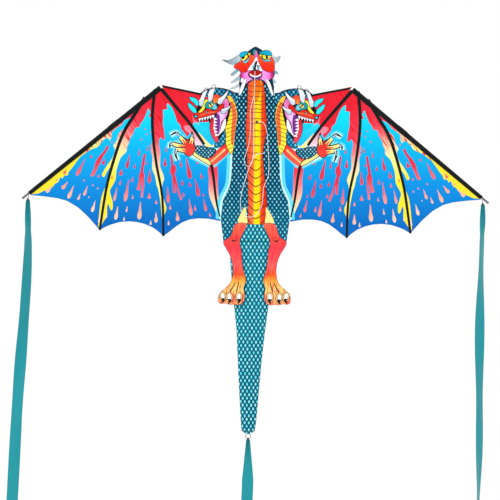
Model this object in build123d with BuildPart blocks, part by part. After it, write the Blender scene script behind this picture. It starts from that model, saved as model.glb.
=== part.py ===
"""A three-headed dragon kite: a printed sail on a folding rod frame, a bridle, legs, a sock tail and streamers.

The frame: X across the wings, Z up, Y from front to back. The origin is the top of the spine on the spine's
axis, which is also the axis that both wings fold about. The sail lies sail_depth in front of that axis.
"""
from build123d import *
from math import hypot, radians, tan
import os

os.makedirs("parts", exist_ok=True)

# ---------------------------------------------------------------------------------------------------------
# Driving dimensions, in millimetres
# ---------------------------------------------------------------------------------------------------------
half_span = 965.0  # spine to the outer corner of a wing's tip
body_length = 790.0  # top of the spine to the knee line, where the legs and the tail are sewn on
leg_length = 252.0  # knee line to the soles
tail_length = 770.0  # seam to the end of the tail's panels
streamer_length = 1300.0
streamer_width = 50.0

cloth = 0.8  # a hemmed edge, which is the thickest that the sail's cloth gets
seam_gap = 0.8  # between cloth pieces that move against each other
layer_gap = 0.3  # between the sail and what is laid on its front
rod_diameter = 6.0  # leading edge rods
spreader_diameter = 6.0
spine_diameter = 6.0
slip = 0.05  # radial play of a rod in its cap, socket or tunnel end, and of a hub ring on the hub

# Hub: a spool on the spine, with one ring for each wing
hub_diameter = 10.0
flange_diameter = 16.0
flange_height = 2.0
ring_height = 10.0
ring_diameter = 16.0
ring_play = 0.3  # above and below each ring
socket_diameter = 9.6
socket_depth = 30.0
socket_start = 14.0  # from the hinge axis to the bottom of the socket
spreader_drop = 321.0  # top of the spine to the middle of the hub

# Leading edge
sleeve_width = 20.0
sleeve_thickness = 8.0
connector_diameter = 11.0
connector_length = 36.0
cap_wall = 1.5
cap_length = 25.0
cap_closed_end = 3.0
loop_room = 10.0  # bare rod between the sleeve and the tip cap, where the streamer's loop goes round
tunnel_play = 0.3  # radial play of a rod in its cloth tunnel

# Spine
sail_depth = ring_diameter / 2 + 3.0  # spine's axis to the middle of the sail's cloth

# Streamer ties
tie_cord = 2.2
tie_play = 0.5
tie_drop = 22.0  # rod to knot
knot_diameter = 9.0

# Tail sock
tail_top_half_width = 92.0
tail_end_half_width = 30.0
tail_top_depth = 60.0
tail_end_depth = 24.0
tail_top_x = -12.0
tail_end_x = -20.0
tab_radius = 6.0
tab_drop = 12.0  # end of the sock to the hole that the streamer's loop goes through

# Bridle
bridle_cord = 2.2
tow_knot_diameter = 9.0

sail_back = sail_depth - cloth / 2
sail_front = sail_depth + cloth / 2
layer_back = sail_front + layer_gap


# ---------------------------------------------------------------------------------------------------------
# Pattern points and helpers
# ---------------------------------------------------------------------------------------------------------
pattern_span = 965.0  # the half span that the outline points are drawn for
pattern_body = 790.0  # the body length that they are drawn for
pattern_root = 150.0  # points nearer the spine than this keep their place when the span changes


def graded(x, z):
    """A pattern point, moved out with the half span and down with the body length."""
    if x > pattern_root:
        x = pattern_root + (x - pattern_root) * (half_span - pattern_root) / (pattern_span - pattern_root)
    return x, z * body_length / pattern_body


def mirrored(points, sign):
    """The same points on the right, sign 1, or the left, sign -1."""
    return [(sign * x, z) for x, z in points]


def save(piece, name):
    """Labels a finished piece and writes it."""
    piece.part.label = name
    export_step(piece.part, f"parts/{name}.step")


def cloth_panel(name, outline, back, thickness=cloth):
    """A flat piece of cloth with a straight-sided outline, its back face that far in front of the axis."""
    with BuildPart() as panel:
        with BuildSketch(Plane.XZ.offset(back)):
            with BuildLine():
                Polyline(*outline, close=True)
            make_face()
        extrude(amount=thickness)
    save(panel, name)


def strip_outline(points, start_width, end_width):
    """The outline of a tape along the points, its width going evenly from the first to the last."""
    lengths = [hypot(b[0] - a[0], b[1] - a[1]) for a, b in zip(points, points[1:])]
    left, right, run = [], [], 0.0
    for i, (x, z) in enumerate(points):
        before, after = points[max(i - 1, 0)], points[min(i + 1, len(points) - 1)]
        dx, dz = after[0] - before[0], after[1] - before[1]
        reach = hypot(dx, dz)
        half = (start_width + (end_width - start_width) * run / sum(lengths)) / 2
        left.append((x - half * dz / reach, z + half * dx / reach))
        right.append((x + half * dz / reach, z - half * dx / reach))
        run += lengths[i] if i < len(lengths) else 0.0
    return left + right[::-1]


def cord(name, route, diameter):
    """A round cord along straight runs joined by the largest arcs that the runs leave room for."""
    points = [Vector(*p) for p in route]
    radii = []
    for a, b, c in zip(points, points[1:], points[2:]):
        turn = (b - a).get_angle(c - b)
        shorter = min((b - a).length, (c - b).length)
        radii.append(0.45 * shorter / tan(radians(turn / 2)))
    with BuildPart() as tube:
        with BuildLine() as path:
            FilletPolyline(*points, radius=radii)
        with BuildSketch(Plane(origin=path.line @ 0, z_dir=path.line % 0)):
            Circle(diameter / 2)
        sweep()
    print(name, "length", round(path.wire().length), "mm, arc radii", [round(r) for r in radii])
    save(tube, name)


# ---------------------------------------------------------------------------------------------------------
# Sail centre: the body and the head
# ---------------------------------------------------------------------------------------------------------
# The seam between body and wing, from the neck down to the wing's root, then on to the knee
seam = [graded(*p) for p in (
    (73, -194), (88, -240), (92, -320), (97, -430), (100, -520), (108, -567), (134, -622), (142, -698),
    (144, -706),
)]
hip = [graded(142, -716), (130, -body_length)]
neck = [graded(*p) for p in ((54, -20), (70, -100))]
body_side = neck + seam + hip
cloth_panel("body_panel", mirrored(body_side, 1) + mirrored(body_side, -1)[::-1], sail_back)

# The head: a stiffened piece with horns, cheek spikes and long whiskers, laid on the front of the neck
head_thickness = 1.0
head_outline = [graded(*p) for p in (
    (-8, 12), (18, -4), (44, -2), (64, -22), (95, -26), (67, -52), (70, -86), (88, -96), (64, -106),
    (78, -132), (57, -124), (70, -184), (42, -128), (12, -122), (-28, -122), (-46, -128), (-66, -184),
    (-60, -126), (-111, -161), (-70, -112), (-107, -103), (-74, -78), (-91, -60), (-72, -52), (-144, -41),
    (-70, -25), (-60, -12), (-31, -8),
)]
cloth_panel("head_panel", head_outline, layer_back, head_thickness)
head_front = layer_back + head_thickness


# ---------------------------------------------------------------------------------------------------------
# Spine: rod, end caps, hub spool and the two cloth tunnels
# ---------------------------------------------------------------------------------------------------------
with BuildPart() as spine_rod:
    rod_length = body_length - 2 * cap_closed_end
    with Locations((0, 0, -body_length / 2)):
        Cylinder(spine_diameter / 2, rod_length)
save(spine_rod, "spine_rod")

for name, end, into in (("spine_cap_top", 0.0, -1), ("spine_cap_bottom", -body_length, 1)):
    with BuildPart() as cap:
        with BuildSketch(Plane(origin=(0, 0, end), z_dir=(0, 0, into))):
            Circle(spine_diameter / 2 + cap_wall)
        extrude(amount=cap_length)
        with BuildSketch(Plane(origin=(0, 0, end + into * cap_closed_end), z_dir=(0, 0, into))):
            Circle(spine_diameter / 2 + slip)
        extrude(amount=cap_length, mode=Mode.SUBTRACT)
    save(cap, name)

ring_pitch = flange_height + 2 * ring_play + ring_height
hub_height = 3 * flange_height + 4 * ring_play + 2 * ring_height
with BuildPart() as hub:
    with Locations((0, 0, -spreader_drop)):
        Cylinder(hub_diameter / 2, hub_height)
    with Locations([(0, 0, -spreader_drop + n * ring_pitch) for n in (-1, 0, 1)]):
        Cylinder(flange_diameter / 2, flange_height)
    with Locations((0, 0, -spreader_drop)):
        Cylinder(spine_diameter / 2 + slip, hub_height, mode=Mode.SUBTRACT)
save(hub, "hub")

tunnel_half = spine_diameter / 2 + tunnel_play
tunnel_end = 4.0  # from a tunnel's end to the next fitting
tunnels = (
    ("spine_tunnel_upper", -cap_length - tunnel_end, -spreader_drop + hub_height / 2 + tunnel_end),
    (
        "spine_tunnel_lower",
        -spreader_drop - hub_height / 2 - tunnel_end,
        -body_length + cap_length + tunnel_end,
    ),
)
for name, top, bottom in tunnels:
    with BuildPart() as tunnel:
        with BuildSketch(Plane.XY.offset(bottom)):
            with BuildLine():
                Polyline(
                    (-tunnel_half - cloth, -sail_back), (-tunnel_half - cloth, tunnel_half + cloth),
                    (tunnel_half + cloth, tunnel_half + cloth), (tunnel_half + cloth, -sail_back),
                    (tunnel_half, -sail_back), (tunnel_half, tunnel_half),
                    (-tunnel_half, tunnel_half), (-tunnel_half, -sail_back), close=True,
                )
            make_face()
        extrude(amount=top - bottom)
    save(tunnel, name)


# ---------------------------------------------------------------------------------------------------------
# Wings: everything that folds with one wing
# ---------------------------------------------------------------------------------------------------------
apex = Vector(*graded(401, -152))
tip = Vector(*graded(965, -614))
edge_length = (tip - apex).length
along = (tip - apex) / edge_length
inward = Vector(along.Y, -along.X)
rod_inset = sleeve_width / 2
sleeve_end = edge_length - cap_length - loop_room
panel_inset = sleeve_width + layer_gap


def on_edge(distance, inset):
    """A point of the wing: a distance along the leading edge from its apex, an inset from its outer side."""
    point = apex + along * distance + inward * inset
    return point.X, point.Y


def rod_plane(sign, distance, direction=1):
    """The plane across the leading edge rod at a distance from the apex, its normal towards the tip."""
    x, z = on_edge(distance, rod_inset)
    return Plane(
        origin=(sign * x, -sail_depth, z), x_dir=(0, 1, 0),
        z_dir=(direction * sign * along.X, 0, direction * along.Y),
    )


# Tapes over the wing's folds, as pattern points, with their widths at the top and at the bottom
fingers = {
    "outer_tape": ([(508, -284), (538, -333), (563, -392), (593, -491), (615, -585), (634, -735)], 18, 8),
    "middle_tape": ([(419, -215), (427, -267), (424, -357), (408, -478), (383, -608), (377, -755)], 18, 7),
    "inner_tape": ([(388, -185), (328, -241), (268, -313), (216, -388)], 16, 12),
    "root_tape": ([(178, -466), (173, -525), (162, -610), (150, -684)], 12, 7),
}
scallops = [graded(*p) for p in ((775, -632), (639, -749), (520, -712), (377, -771), (262, -699))]
side_head_outline = [graded(*p) for p in (
    (129, -184), (152, -222), (178, -166), (190, -220), (216, -190), (236, -238), (282, -212), (247, -250),
    (262, -264), (257, -286), (214, -286), (194, -305), (188, -345), (162, -380), (150, -338), (136, -300),
    (119, -236),
)]
arch_top = graded(165, -159)
arch_end = graded(233, -184)
binding_width = 8.0

for side, sign in (("left", -1), ("right", 1)):
    # The wing's cloth: body seam, neck arch, front edge, leading edge, then three scallops back to the root
    wing_seam = mirrored([(x + seam_gap, z) for x, z in seam], sign)
    front_edge = [arch_end, on_edge(-8, 4), on_edge(-8, panel_inset), on_edge(sleeve_end, panel_inset)]
    front_edge = mirrored(front_edge, sign)
    first, point_a, second, point_b, third = mirrored(scallops, sign)
    with BuildPart() as wing_panel:
        with BuildSketch(Plane.XZ.offset(sail_back)):
            with BuildLine():
                Polyline(*wing_seam)
                ThreePointArc(wing_seam[0], (sign * arch_top[0], arch_top[1]), front_edge[0])
                Polyline(*front_edge)
                ThreePointArc(front_edge[-1], first, point_a)
                ThreePointArc(point_a, second, point_b)
                ThreePointArc(point_b, third, wing_seam[-1])
            make_face()
        extrude(amount=cloth)
    save(wing_panel, f"{side}_wing_panel")

    # What is laid on the front of the wing: the side head, the tapes and the front edge's binding
    cloth_panel(f"{side}_head_panel", mirrored(side_head_outline, sign), layer_back)
    for name, (points, top_width, bottom_width) in fingers.items():
        outline = strip_outline([graded(*p) for p in points], top_width, bottom_width)
        cloth_panel(f"{side}_{name}", mirrored(outline, sign), layer_back)
    binding_end = on_edge(-14, 6 + binding_width)
    binding_start = (arch_end[0], arch_end[1] - binding_width)
    outline = strip_outline([binding_start, binding_end], binding_width, binding_width)
    cloth_panel(f"{side}_edge_binding", mirrored(outline, sign), layer_back)

    # The leading edge: rod, caps and the two sleeves that leave the spreader's connector bare
    spreader_z = -spreader_drop - sign * ring_pitch / 2
    connector_at = (apex.Y + inward.Y * rod_inset - spreader_z) / -along.Y
    connector_x = on_edge(connector_at, rod_inset)[0]
    with BuildPart() as edge_rod:
        with BuildSketch(rod_plane(sign, cap_closed_end)):
            Circle(rod_diameter / 2)
        extrude(amount=edge_length - 2 * cap_closed_end)
    save(edge_rod, f"{side}_edge_rod")

    for name, end, direction in (("apex_cap", 0.0, 1), ("tip_cap", edge_length, -1)):
        with BuildPart() as cap:
            with BuildSketch(rod_plane(sign, end, direction)):
                Circle(rod_diameter / 2 + cap_wall)
            extrude(amount=cap_length)
            with BuildSketch(rod_plane(sign, end + direction * cap_closed_end, direction)):
                Circle(rod_diameter / 2 + slip)
            extrude(amount=cap_length, mode=Mode.SUBTRACT)
        save(cap, f"{side}_{name}")

    sleeve_gap = connector_length / 2 + 2
    sleeves = (
        ("upper_sleeve", cap_length + 2, connector_at - sleeve_gap),
        ("lower_sleeve", connector_at + sleeve_gap, sleeve_end),
    )
    for name, start, end in sleeves:
        with BuildPart() as sleeve:
            with BuildSketch(rod_plane(sign, start)):
                SlotOverall(sleeve_width, sleeve_thickness, rotation=90)
                Circle(rod_diameter / 2 + tunnel_play, mode=Mode.SUBTRACT)
            extrude(amount=end - start)
        save(sleeve, f"{side}_{name}")

    # The spreader: a ring that turns on the hub, the rod, and the connector on the leading edge rod
    arm_plane = Plane(origin=(0, 0, spreader_z), x_dir=(0, 1, 0), z_dir=(sign, 0, 0))
    with BuildPart() as hub_arm:
        with Locations((0, 0, spreader_z)):
            Cylinder(ring_diameter / 2, ring_height)
        with BuildSketch(arm_plane.offset((hub_diameter + ring_diameter) / 4)):
            Circle(socket_diameter / 2)
        extrude(amount=socket_start + socket_depth - (hub_diameter + ring_diameter) / 4)
        with BuildSketch(arm_plane.offset(socket_start)):
            Circle(spreader_diameter / 2 + slip)
        extrude(amount=socket_depth, mode=Mode.SUBTRACT)
        with Locations((0, 0, spreader_z)):
            Cylinder(hub_diameter / 2 + slip, ring_height, mode=Mode.SUBTRACT)
    save(hub_arm, f"{side}_hub_arm")

    connector_stop = connector_x - connector_diameter
    with BuildPart() as spreader_rod:
        with BuildSketch(arm_plane.offset(socket_start)):
            Circle(spreader_diameter / 2)
        extrude(amount=connector_stop - socket_start)
    save(spreader_rod, f"{side}_spreader_rod")

    with BuildPart() as connector:
        with BuildSketch(rod_plane(sign, connector_at - connector_length / 2)):
            Circle(connector_diameter / 2)
        extrude(amount=connector_length)
        with BuildSketch(Plane(origin=(sign * connector_x, -sail_depth, spreader_z), z_dir=(0, 1, 0))):
            Circle(socket_diameter / 2)
        extrude(amount=sail_depth)
        with Locations((sign * connector_x, 0, spreader_z)):
            Sphere(socket_diameter / 2)
        with BuildSketch(arm_plane.offset(connector_stop - socket_depth)):
            Circle(socket_diameter / 2)
        extrude(amount=socket_depth + connector_diameter)
        with BuildSketch(arm_plane.offset(connector_stop - socket_depth)):
            Circle(spreader_diameter / 2 + slip)
        extrude(amount=socket_depth, mode=Mode.SUBTRACT)
        with BuildSketch(rod_plane(sign, connector_at - connector_length / 2)):
            Circle(rod_diameter / 2 + slip)
        extrude(amount=connector_length, mode=Mode.SUBTRACT)
    save(connector, f"{side}_connector")

    # The streamer: a cord tie looped round the bare rod, knotted to a long ribbon
    loop_at = sleeve_end + loop_room / 2
    loop_radius = rod_diameter / 2 + tie_play + tie_cord / 2
    loop_x, loop_z = on_edge(loop_at, rod_inset)
    low_x, low_z = on_edge(loop_at, rod_inset + loop_radius)
    knot_z = loop_z - tie_drop
    link = Vector(loop_x - low_x, 0, knot_z - low_z)
    with BuildPart() as tie:
        with Locations(rod_plane(sign, loop_at)):
            Torus(loop_radius, tie_cord / 2)
        link_start = (sign * low_x, -sail_depth, low_z)
        with BuildSketch(Plane(origin=link_start, x_dir=(0, 1, 0), z_dir=(sign * link.X, 0, link.Z))):
            Circle(tie_cord / 2)
        extrude(amount=link.length)
        with Locations((sign * loop_x, -sail_depth, knot_z)):
            Sphere(knot_diameter / 2)
    save(tie, f"{side}_streamer_tie")

    ribbon_top = knot_z - knot_diameter / 2
    left_edge, right_edge = sign * loop_x - streamer_width / 2, sign * loop_x + streamer_width / 2
    outline = [(left_edge, ribbon_top), (right_edge, ribbon_top)]
    outline += [(right_edge, ribbon_top - streamer_length), (left_edge, ribbon_top - streamer_length)]
    cloth_panel(f"{side}_streamer", outline, sail_back)


# ---------------------------------------------------------------------------------------------------------
# Legs: shin and clawed foot, hanging from the knee line
# ---------------------------------------------------------------------------------------------------------
# x, and the share of the leg's length below the knee line
leg_side = [
    (64, 0.0), (50, 0.30), (42, 0.61), (55, 0.87), (60, 1.0), (84, 0.97), (104, 1.0), (126, 0.96),
    (146, 0.99), (158, 0.94), (91, 0.52), (96, 0.30), (130, 0.0),
]
for side, sign in (("left", -1), ("right", 1)):
    knee = -body_length - seam_gap
    outline = [(x, knee - share * (leg_length - seam_gap)) for x, share in leg_side]
    cloth_panel(f"{side}_leg", mirrored(outline, sign), sail_back)


# ---------------------------------------------------------------------------------------------------------
# Tail: a four-sided sock that the wind fills through its open top, with a tab for its streamer
# ---------------------------------------------------------------------------------------------------------
tail_seam = 11.0  # knee line to the top of the sock's panels
tail_top = -body_length - tail_seam
tail_end = tail_top - tail_length
tail_front_y = -sail_depth + 2.0
tail_end_y = tail_front_y + (tail_top_depth - tail_end_depth) / 2 + 3.0
corner = cloth + layer_gap  # the side panels stand this far inside the front and back ones

front_slope = Vector(0, tail_end_y - tail_front_y, -tail_length)
back_slope = Vector(0, tail_end_y + tail_end_depth - tail_front_y - tail_top_depth, -tail_length)
panels = (
    ("tail_front", tail_front_y, front_slope, 1),
    ("tail_back", tail_front_y + tail_top_depth, back_slope, -1),
)
for name, top_y, slope, into in panels:
    outward = slope.cross(Vector(1, 0, 0))
    tail_plane = Plane(origin=(tail_top_x, top_y, tail_top), x_dir=(1, 0, 0), z_dir=outward)
    lean = tail_end_x - tail_top_x
    down = slope.length * (1 if tail_plane.y_dir.Z < 0 else -1)
    with BuildPart() as panel:
        with BuildSketch(tail_plane):
            with BuildLine():
                Polyline(
                    (-tail_top_half_width, 0), (tail_top_half_width, 0),
                    (lean + tail_end_half_width, down), (lean - tail_end_half_width, down), close=True,
                )
            make_face()
        extrude(amount=cloth * into * (1 if tail_plane.z_dir.Y > 0 else -1))
    save(panel, name)

for name, sign in (("tail_left", -1), ("tail_right", 1)):
    top_x = tail_top_x + sign * (tail_top_half_width - corner)
    end_x = tail_end_x + sign * (tail_end_half_width - corner)
    slope = Vector(end_x - top_x, 0, -tail_length)
    side_plane = Plane(origin=(top_x, 0, tail_top), x_dir=(0, 1, 0), z_dir=slope.cross(Vector(0, 1, 0)))
    down = slope.length * (1 if side_plane.y_dir.Z < 0 else -1)
    with BuildPart() as panel:
        with BuildSketch(side_plane):
            with BuildLine():
                Polyline(
                    (tail_front_y + corner, 0), (tail_front_y + tail_top_depth - corner, 0),
                    (tail_end_y + tail_end_depth - corner, down), (tail_end_y + corner, down), close=True,
                )
            make_face()
        extrude(amount=-sign * cloth * (1 if side_plane.z_dir.X > 0 else -1))
    save(panel, name)

tab_y = tail_end_y + tail_end_depth / 2
tab_thickness = 1.2
hole_z = tail_end - tab_drop
loop_hole = tie_cord / 2 + tie_play
with BuildPart() as tail_tab:
    with BuildSketch(Plane.YZ.offset(tail_end_x - tab_thickness / 2)):
        with Locations((tab_y, hole_z)):
            Circle(tab_radius)
        with Locations((tab_y, hole_z + tab_drop / 2)):
            Rectangle(2 * tab_radius, tab_drop)
        with Locations((tab_y, hole_z)):
            Circle(loop_hole, mode=Mode.SUBTRACT)
    extrude(amount=tab_thickness)
    with Locations((tail_end_x, tab_y, tail_end - layer_gap - cloth / 2)):
        Box(2 * (tail_end_half_width - corner), tail_end_depth, cloth)
save(tail_tab, "tail_tab")

# The tail's streamer: its tie goes through the tab's hole, and the same kind of ribbon hangs from the knot
knot_z = hole_z - tie_drop
with BuildPart() as tail_tie:
    loop_centre = (tail_end_x, tab_y, hole_z - tie_drop / 2)
    with Locations(Plane(origin=loop_centre, x_dir=(1, 0, 0), z_dir=(0, 1, 0))):
        Torus(tie_drop / 2, tie_cord / 2)
    with Locations(Location((tail_end_x, tab_y, knot_z), (0, 0, 45))):
        Sphere(knot_diameter / 2)
save(tail_tie, "tail_streamer_tie")

ribbon_top = knot_z - knot_diameter / 2
left_edge, right_edge = tail_end_x - streamer_width / 2, tail_end_x + streamer_width / 2
outline = [(left_edge, ribbon_top), (right_edge, ribbon_top)]
outline += [(right_edge, ribbon_top - streamer_length), (left_edge, ribbon_top - streamer_length)]
cloth_panel("tail_streamer", outline, -tab_y - cloth / 2)


# ---------------------------------------------------------------------------------------------------------
# Bridle: two sewn tabs, the cord's legs, a slack strand and the knot that the flying line is tied to
# ---------------------------------------------------------------------------------------------------------
tab_width = 9.0
tab_stand = 4.0
nose_tab = (-7.0, -84.0)
belly_tab = (3.0, -297.0)
tabs = (("bridle_tab_nose", nose_tab, head_front), ("bridle_tab_belly", belly_tab, sail_front))
for name, (x, z), back in tabs:
    with BuildPart() as tab:
        with BuildSketch(Plane.XZ.offset(back)):
            with Locations((x, z)):
                RectangleRounded(tab_width, tab_width, 2)
        extrude(amount=tab_stand)
    save(tab, name)

tow_knot_at = (-9.0, -21.0, -441.0)
with BuildPart() as tow_knot:
    with Locations(tow_knot_at):
        Sphere(tow_knot_diameter / 2)
save(tow_knot, "tow_knot")

# Hand-laid routes: the cord hangs slack in front of the belly
upper_leg = [(-7, -15, -88.5), (-9, -19, -205), (-11, -21, -322), (-9.3, -21, -437)]
lower_leg = [
    (7.5, -14, -297), (20, -15, -295), (33, -16, -303), (42, -18, -325), (48, -19, -362), (49, -20, -406),
    (54, -21, -452), (55, -20, -494), (51, -19, -526), (40, -20, -549), (31, -21, -572), (31, -22, -608),
    (26, -21, -645), (12, -20, -672), (-8, -21, -688), (-32, -22, -690), (-51, -21, -677), (-61, -20, -652),
    (-62, -20, -616), (-54, -21, -577), (-43, -22, -537), (-33, -20, -502), (-22, -18.5, -472),
    (-10, -19.6, -445),
]
slack_strand = [
    (-9, -19, -190), (-20, -18, -224), (-26, -19, -262), (-23, -20, -305), (-24, -19, -350), (-29, -18, -392),
    (-41, -19, -428), (-49, -21, -455), (-45, -23, -476), (-28, -25, -484), (-14, -25, -464),
    (-10.2, -23.6, -444),
]
tag_end = [(-5.2, -21.5, -439), (4, -23, -431), (16, -22, -426), (29, -21, -429), (36, -20, -420)]
cord("bridle_upper_leg", upper_leg, bridle_cord)
cord("bridle_lower_leg", lower_leg, bridle_cord)
cord("bridle_slack_strand", slack_strand, bridle_cord)
cord("bridle_tag_end", tag_end, bridle_cord)
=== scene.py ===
from math import atan2, cos, exp, hypot, pi, radians, sin

import bpy
import numpy as np
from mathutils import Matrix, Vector
from mathutils.geometry import delaunay_2d_cdt


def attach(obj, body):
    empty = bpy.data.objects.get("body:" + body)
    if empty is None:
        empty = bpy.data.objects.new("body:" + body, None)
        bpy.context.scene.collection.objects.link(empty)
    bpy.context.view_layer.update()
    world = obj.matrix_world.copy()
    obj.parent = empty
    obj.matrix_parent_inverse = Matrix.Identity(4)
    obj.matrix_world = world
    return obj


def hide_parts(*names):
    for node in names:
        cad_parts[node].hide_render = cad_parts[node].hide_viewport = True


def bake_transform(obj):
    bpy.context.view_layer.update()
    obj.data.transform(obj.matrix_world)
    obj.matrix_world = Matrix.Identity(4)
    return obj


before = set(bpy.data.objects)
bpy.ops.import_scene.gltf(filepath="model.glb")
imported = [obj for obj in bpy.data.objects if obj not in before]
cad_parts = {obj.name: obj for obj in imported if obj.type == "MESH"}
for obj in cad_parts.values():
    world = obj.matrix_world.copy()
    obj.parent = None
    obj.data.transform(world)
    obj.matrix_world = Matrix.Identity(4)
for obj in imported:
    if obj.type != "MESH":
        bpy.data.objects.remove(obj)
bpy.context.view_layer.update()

# Camera, light and floor: a long lens straight in front of the hanging kite, with its horizon a little off
# level. The light is a pale room all round and one large soft lamp high on the left.
MM = 0.001
view_width = 2060 * MM
view_distance = 6.0
camera_data = bpy.data.cameras.new("camera")
camera_data.lens = 36.0 * view_distance / view_width
camera = bpy.data.objects.new("camera", camera_data)
camera.location = (-20 * MM, -view_distance, -824 * MM)
camera.rotation_euler = (pi / 2, radians(-0.6), 0.0)
bpy.context.collection.objects.link(camera)
bpy.context.scene.camera = camera
bpy.context.scene.view_settings.view_transform = "Standard"

room = bpy.data.worlds.new("room")
room.use_nodes = True
room.node_tree.nodes["Background"].inputs["Color"].default_value = (1.0, 1.0, 1.0, 1.0)
room.node_tree.nodes["Background"].inputs["Strength"].default_value = 1.0
bpy.context.scene.world = room

lamp_data = bpy.data.lights.new("soft_lamp", "SUN")
lamp_data.energy = 1.0
lamp_data.angle = radians(18)
lamp = bpy.data.objects.new("soft_lamp", lamp_data)
lamp.rotation_euler = (radians(52), radians(-14), radians(-24))
bpy.context.collection.objects.link(lamp)

floor_z = -2960 * MM
floor_sides = 48
floor_mesh = bpy.data.meshes.new("floor")
floor_rim = [(3.4 * cos(2 * pi * n / floor_sides), 3.4 * sin(2 * pi * n / floor_sides), floor_z)
             for n in range(floor_sides)]
floor_mesh.from_pydata(floor_rim, [], [list(range(floor_sides))])
floor = bpy.data.objects.new("floor", floor_mesh)
bpy.context.collection.objects.link(floor)
floor_paint = bpy.data.materials.new("pale_floor")
floor_paint.use_nodes = True
floor_paint.node_tree.nodes["Principled BSDF"].inputs["Base Color"].default_value = (0.86, 0.86, 0.86, 1.0)
floor_paint.node_tree.nodes["Principled BSDF"].inputs["Roughness"].default_value = 0.9
floor_mesh.materials.append(floor_paint)


# Bridle: four runs of thin white braided polyester line, knotted together where the flying line is tied on.
# Two legs go to loops at the nose and the belly, one is left as a slack strand, and a short end is left over.
def add(tree, kind, inputs=(), **settings):
    """A shader node with its settings; of its inputs, sockets are linked and values are set."""
    made = tree.nodes.new(kind)
    for key, value in settings.items():
        setattr(made, key, value)
    for place, value in dict(inputs).items():
        if isinstance(value, bpy.types.NodeSocket):
            tree.links.new(value, made.inputs[place])
        else:
            made.inputs[place].default_value = value
    return made


def maths(tree, operation, *values):
    """A Math node, with its values in order."""
    return add(tree, "ShaderNodeMath", dict(enumerate(values)), operation=operation)


def shader_group(name, takes, gives):
    """An empty shader node group with named inputs and outputs, and its two end nodes."""
    group = bpy.data.node_groups.new(name, "ShaderNodeTree")
    for label, kind, value in takes:
        socket = group.interface.new_socket(name=label, in_out="INPUT", socket_type=f"NodeSocket{kind}")
        if value is not None:
            socket.default_value = value
    for label, kind in gives:
        group.interface.new_socket(name=label, in_out="OUTPUT", socket_type=f"NodeSocket{kind}")
    return group, group.nodes.new("NodeGroupInput"), group.nodes.new("NodeGroupOutput")


def dye(red, green, blue):
    """A screen colour, 0 to 255, as the linear colour that the shaders take."""
    parts = [value / 255 for value in (red, green, blue)]
    linear = [part / 12.92 if part <= 0.04045 else ((part + 0.055) / 1.055) ** 2.4 for part in parts]
    return (*linear, 1.0)


def surface(name, roughness, specular=0.5, sheen=0.0, metallic=0.0, coat=0.0):
    """A new material with its plain values set, its node tree and its shader."""
    material = bpy.data.materials.new(name)
    material.use_nodes = True
    shader = material.node_tree.nodes["Principled BSDF"]
    shader.inputs["Roughness"].default_value = roughness
    shader.inputs["Specular IOR Level"].default_value = specular
    shader.inputs["Sheen Weight"].default_value = sheen
    shader.inputs["Metallic"].default_value = metallic
    shader.inputs["Coat Weight"].default_value = coat
    return material, material.node_tree, shader


def mottled_group():
    """Colour that varies softly with place, and a fine grain for bump, in object metres."""
    group, takes, gives = shader_group(
        "mottled",
        [("Colour", "Color", (1, 1, 1, 1)), ("Spots", "Float", 60.0), ("Depth", "Float", 0.1),
         ("Grain", "Float", 900.0)],
        [("Colour", "Color"), ("Roughness", "Float"), ("Height", "Float")],
    )
    place = add(group, "ShaderNodeTexCoord")
    spots = add(group, "ShaderNodeTexNoise",
                {"Vector": place.outputs["Object"], "Scale": takes.outputs["Spots"]})
    grain = add(group, "ShaderNodeTexNoise",
                {"Vector": place.outputs["Object"], "Scale": takes.outputs["Grain"]})
    swing = maths(group, "SUBTRACT", spots.outputs["Fac"], 0.5)
    shift = maths(group, "MULTIPLY_ADD", swing.outputs[0], takes.outputs["Depth"], 1.0)
    tint = add(group, "ShaderNodeHueSaturation",
               {"Value": shift.outputs[0], "Color": takes.outputs["Colour"]})
    rough = add(group, "ShaderNodeMapRange", {"Value": grain.outputs["Fac"], "To Min": 0.32, "To Max": 0.62})
    group.links.new(tint.outputs["Color"], gives.inputs["Colour"])
    group.links.new(rough.outputs["Result"], gives.inputs["Roughness"])
    group.links.new(grain.outputs["Fac"], gives.inputs["Height"])
    return group


mottled = mottled_group()


def finish_from(tree, shader, group_node, bump_distance, height=None, strength=0.6):
    """Links a group's colour, roughness and height to the shader."""
    tree.links.new(group_node.outputs["Colour"], shader.inputs["Base Color"])
    if "Roughness" in group_node.outputs:
        tree.links.new(group_node.outputs["Roughness"], shader.inputs["Roughness"])
    height = height or group_node.outputs["Height"]
    bump = add(tree, "ShaderNodeBump", {"Height": height, "Distance": bump_distance, "Strength": strength})
    tree.links.new(bump.outputs["Normal"], shader.inputs["Normal"])


def braided_line(name, colour):
    """Braided line: a fine herringbone of raised strands around the cord."""
    material, tree, shader = surface(name, 0.6, sheen=0.2)
    place = add(tree, "ShaderNodeTexCoord")
    base = add(tree, "ShaderNodeGroup", {}, node_tree=mottled)
    base.inputs["Colour"].default_value = colour
    base.inputs["Depth"].default_value = 0.22
    strands = add(
        tree, "ShaderNodeTexWave", {"Vector": place.outputs["Object"], "Scale": 420.0, "Distortion": 1.5},
        wave_type="BANDS", bands_direction="DIAGONAL",
    )
    finish_from(tree, shader, base, 0.0004, height=strands.outputs["Fac"])
    return material


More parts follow.
